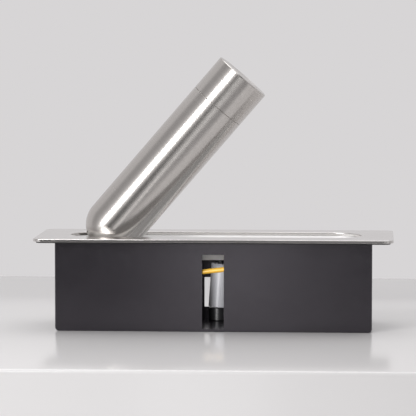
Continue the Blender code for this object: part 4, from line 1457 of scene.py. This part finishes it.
def domeArc(radius, steps):
    # from the straight tube round to the hole at the pole
    last = math.acos(tubeSize["domeHole"] / radius)
    turns = [last * step / steps for step in range(steps + 1)]
    return [(tubeSize["dome"] - radius * math.sin(turn), radius * math.cos(turn)) for turn in turns]


def makeShell():
    outer, inner = tubeSize["radius"], tubeSize["radius"] - sheet
    seam, lip = tubeSize["seam"], 0.00025
    profile = [(seam, outer - lip), (seam - lip, outer), *domeArc(outer, 28)]
    profile += [*reversed(domeArc(inner, 24)), (seam, inner)]
    shell = spun(profile, tubeSize["sides"], True)
    half, across = sockets["length"] / 2 + gap, sockets["width"] / 2 + gap
    window = block((sockets["middle"] - half, 0.010, -across), (sockets["middle"] + half, 0.040, across),
                   rounded=((runs(1), sockets["corner"] + gap, 12),))
    shell = wrapUv(carved(shell, *cuts(window)))
    tubePiece("steelTube", shell, ["tube_shell"], tubeSteel)


def makeCap():
    seam, end = tubeSize["seam"] + gap, tubeSize["end"]
    outer, lip, edge = tubeSize["radius"], 0.00025, tubeSize["chamfer"]
    wall = outer - sheet - gap
    bottom = end - tubeSize["discThick"] - gap
    hole = tubeSize["discRadius"] + gap
    profile = [(bottom, 0), (bottom, hole), (end - 0.00015, hole), (end, hole + 0.00015)]
    profile += arc(end - edge, outer - edge, edge, 0, 90, 5)
    profile += [(seam + lip, outer), (seam, outer - lip), (seam, wall), (seam - tubeSize["spigot"], wall),
                (seam - tubeSize["spigot"], wall - sheet), (bottom - sheet, wall - sheet),
                (bottom - sheet, 0)]
    cap = wrapUv(spun(profile, tubeSize["sides"]))
    tubePiece("tubeCap", cap, ["end_cap"], tubeSteel)
    radius = tubeSize["discRadius"]
    disc = [(end, 0), (end, radius - 0.0006)] + arc(end - gap, radius - gap, gap, 0, 90, 4)
    disc += [(bottom + gap, radius), (bottom + gap, 0)]
    tubePiece("capDisc", wrapUv(spun(disc, tubeSize["sides"])), ["end_disc"], tubeSteel)


def boredY(radius, s, z, start, end, steps=48):
    return rod(radius, (s, start, z), (s, end, z), steps)


def makeCarrier():
    half, across, face = sockets["length"] / 2, sockets["width"] / 2, sockets["face"]
    middle = sockets["middle"]
    plateau = block((middle - half, face - sockets["depth"], -across), (middle + half, face, across),
                    0.0004, ((runs(1), sockets["corner"], 12),))
    holes = [boredY(sockets["cup"] + gap, s, 0, 0, 0.03, 96) for s in places]
    for s, z in carrierScrews:
        holes += [boredY(0.0018, s, z, 0, 0.03, 32), boredY(0.0033, s, z, face - 0.0020, 0.03)]
    tubePiece("socketFascia", carved(plateau, *cuts(*holes)), ["socket_carrier"],
              blackPlastic)
    low = (middle - 0.067, -0.0195, -0.019)
    base = block(low, (middle + 0.067, -0.0143, 0.019), 0.0003)
    holes = [boredY(0.0018, s, z, -0.03, 0, 32) for s, z in carrierScrews]
    tubePiece("contactBase", carved(base, *cuts(*holes)), ["strip_base"], blackPlastic)
    head = face - 0.0002
    for index, (s, z) in enumerate(carrierScrews, 1):
        profile = [(head, 0), (head, 0.0020), (head - 0.0002, 0.0026), (head - 0.0005, 0.0029),
                   (face - 0.0016, 0.0029), (face - 0.0016, 0.0015), (-0.0180, 0.0015),
                   (-0.0185, 0.0011), (-0.0185, 0)]
        screw = spun(profile, 40)
        screw.transform(pointed((s, 0, z), toY))
        cross = [block((s - 0.0018, head - 0.0010, z - 0.0003), (s + 0.0018, head + 0.001, z + 0.0003)),
                 block((s - 0.0003, head - 0.0010, z - 0.0018), (s + 0.0003, head + 0.001, z + 0.0018))]
        tubePiece(f"fasciaScrew{index}", carved(screw, *cuts(*cross)),
                  [f"carrier_screw_{index}"], zincSteel)


def makeCups():
    depth, face = sockets["recessDepth"], sockets["face"]
    rim, recess, cup = 0.0005, sockets["recess"], sockets["cup"]
    bottom = -(depth + sockets["floor"])
    floorBend = 0.0008
    profile = [(-depth, 0)]
    profile += [(-depth + floorBend * (1 - math.cos(turn)), recess - floorBend * (1 - math.sin(turn)))
                for turn in [math.radians(90 * step / 5) for step in range(6)]]
    profile += [(-rim, recess), (-rim * 0.3, recess + rim * 0.3), (0, recess + rim),
                (0, cup - 0.0002), (-0.0002, cup), (bottom, cup), (bottom, 0)]
    for index, s in enumerate(places, 1):
        shape = spun(profile, 96)
        shape.transform(pointed((s, face, 0), toY))
        ribs = []
        slots = []
        for side in (-1, 1):
            low, high = sorted((side * 0.0175, side * 0.0204))
            ribs.append(block((s - 0.0022, face - depth - 0.001, low), (s + 0.0022, face - 0.0020, high),
                              rounded=((lambda edge: alongAxis(edge, 1)
                                        and abs(edge.verts[0].co.z) < 0.018, 0.0006, 4),)))
            z = side * sockets["pins"] / 2
            slots.append(boredY(sockets["pinHole"], s, z, -0.010, 0.010, 40))
            flare = spun([(0, 0), (0, sockets["pinHole"]), (0.0008, sockets["pinHole"] + 0.0007),
                          (0.0008, 0)], 40)
            flare.transform(pointed((s, face - depth - 0.0007, z), toY))
            slots.append(flare)
            low, high = sorted((s + side * 0.0170, s + side * 0.0240))
            slots.append(block((low, -0.0005, -0.0030), (high, 0.0156, 0.0030)))
        tubePiece(f"socketWell{index}", carved(shape, *joins(*ribs), *cuts(*slots)),
                  [f"socket_cup_{index}"], blackPlastic)


strips = {
    "level": -0.0140,
    "thick": 0.0008,
    "width": 0.006,
    "half": 0.064,
    "earthHalf": 0.0672,
    "sleeve": 0.0036,
    "bore": 0.0026,
    "clipHalf": 0.0024,
    "clipThick": 0.0007,
    "clip": ((0.0217, -0.0136), (0.0217, 0.0006), (0.0180, 0.0062), (0.0176, 0.0090), (0.0190, 0.0135)),
}


def earthClip(s, side):
    # a sprung leg that rises beside a well and bulges into it
    points = [(s + side * x, y, -strips["clipHalf"]) for x, y in strips["clip"]]
    rising, bulging = points[:2], smoothed(points[1:], 0.0008)
    bm = bmesh.new()
    verts = [bm.verts.new(point) for point in [rising[0], *bulging]]
    edges = [bm.edges.new(pair) for pair in zip(verts, verts[1:])]
    made = bmesh.ops.extrude_edge_only(bm, edges=edges)["geom"]
    raisedVerts = [part for part in made if isinstance(part, bmesh.types.BMVert)]
    bmesh.ops.translate(bm, vec=(0, 0, 2 * strips["clipHalf"]), verts=raisedVerts)
    bmesh.ops.recalc_face_normals(bm, faces=bm.faces)
    bmesh.ops.solidify(bm, geom=bm.faces[:], thickness=strips["clipThick"])
    bmesh.ops.recalc_face_normals(bm, faces=bm.faces)
    return bm


def makeStrips():
    middle, level, top = sockets["middle"], strips["level"], strips["level"] + strips["thick"]
    for side, name, nodeName in ((1, "liveContact", "live_strip"), (-1, "neutralContact", "neutral_strip")):
        z = side * sockets["pins"] / 2
        shape = block((middle - strips["half"], level, z - strips["width"] / 2),
                      (middle + strips["half"], top, z + strips["width"] / 2), 0.0001)
        sleeves = [boredY(strips["sleeve"], s, z, level + gap, -0.0018) for s in places]
        bores = [boredY(strips["bore"], s, z, top + 0.001, 0.002) for s in places]
        tubePiece(name, carved(shape, *joins(*sleeves), *cuts(*bores)), [nodeName],
                  contactBrass)
    bar = block((middle - strips["earthHalf"], level, -0.0025), (middle + strips["earthHalf"], top, 0.0025),
                0.0001)
    clips = [earthClip(s, side) for s in places for side in (-1, 1)]
    tubePiece("earthContact", carved(bar, *joins(*clips)), ["earth_strip"], contactBrass)


arm = {
    "boss": 0.0115,
    "bossHalf": 0.0275,
    "neck": 0.0102,
    "bush": 0.0090,
    "flange": 0.0112,
    "bushStart": 0.0120,
}


def makeArm():
    bossHalf = arm["bossHalf"]
    boss = rod(arm["boss"], (0, -bossHalf, 0), (0, bossHalf, 0), 96, 0.0005)
    neck = rod(arm["neck"], (0.004, 0, 0), (0.0378, 0, 0), 96, 0.0004)
    shoulder = rod(0.0130, (0.0188, 0, 0), (0.0254, 0, 0), 96, 0.0005)
    tail = block((-0.0160, -0.008, -0.004), (-0.0050, 0.008, 0.004), 0.0006)
    bores = [rod(arm["bush"] + gap, (0, -0.04, 0), (0, 0.04, 0), 96),
             rod(0.0050, (0.0010, 0, 0), (0.0500, 0, 0), 64)]
    tubePiece("swingArm", carved(boss, *joins(neck, shoulder, tail), *cuts(*bores)),
              ["pivot_arm"], zincSteel)
    ring = spun([(0.0302, 0.0132), (0.0302, arm["neck"] + gap), (0.0358, arm["neck"] + gap),
                 (0.0358, 0.0132)], 96, True, 0.0003)
    notches = [rod(0.0013, (0.027, 0.0134 * math.cos(turn), 0.0134 * math.sin(turn)),
                   (0.042, 0.0134 * math.cos(turn), 0.0134 * math.sin(turn)), 20)
               for turn in [math.radians(60 * step) for step in range(6)]]
    tubePiece("armRingNut", carved(ring, *cuts(*notches)), ["arm_ring_nut"], zincSteel)
    start, inner = bossHalf + gap, shaft["outer"] + gap
    profile = [(start + 0.0012, arm["flange"]), (start, arm["flange"]), (start, arm["bush"]),
               (arm["bushStart"], arm["bush"]), (arm["bushStart"], inner), (start + 0.0012, inner)]
    for name, nodeName, direction in (("frontBush", "pivot_bush_front", -toY),
                                      ("rearBush", "pivot_bush_rear", toY)):
        bush = spun(profile, 96, True, 0.0002)
        bush.transform(pointed((0, 0, 0), direction))
        tubePiece(name, bush, [nodeName], bearingBronze)


makeSaddle()
makeTerminalBox()
makeGland()
makeRiser()
makeLeads()
print("tray's fittings and leads made")
makeShell()
makeCap()
makeCarrier()
makeCups()
makeStrips()
makeArm()
print("tube made")

objects = bpy.data.objects
keepDark(objects["frontBox"], [objects["worktopPlate"]])
lightOnly(makeLamp(*slotLamp), [objects["riserTube"], objects["elbowFitting"], objects["earthWire"]])
lightOnly(makeLamp(*tubeGlow), [objects["steelTube"], objects["tubeCap"], objects["capDisc"]])
lightOnly(makeLamp(*rimGlow), [objects["worktopPlate"], objects["openingRim"]])
print("lamps set to their pieces")
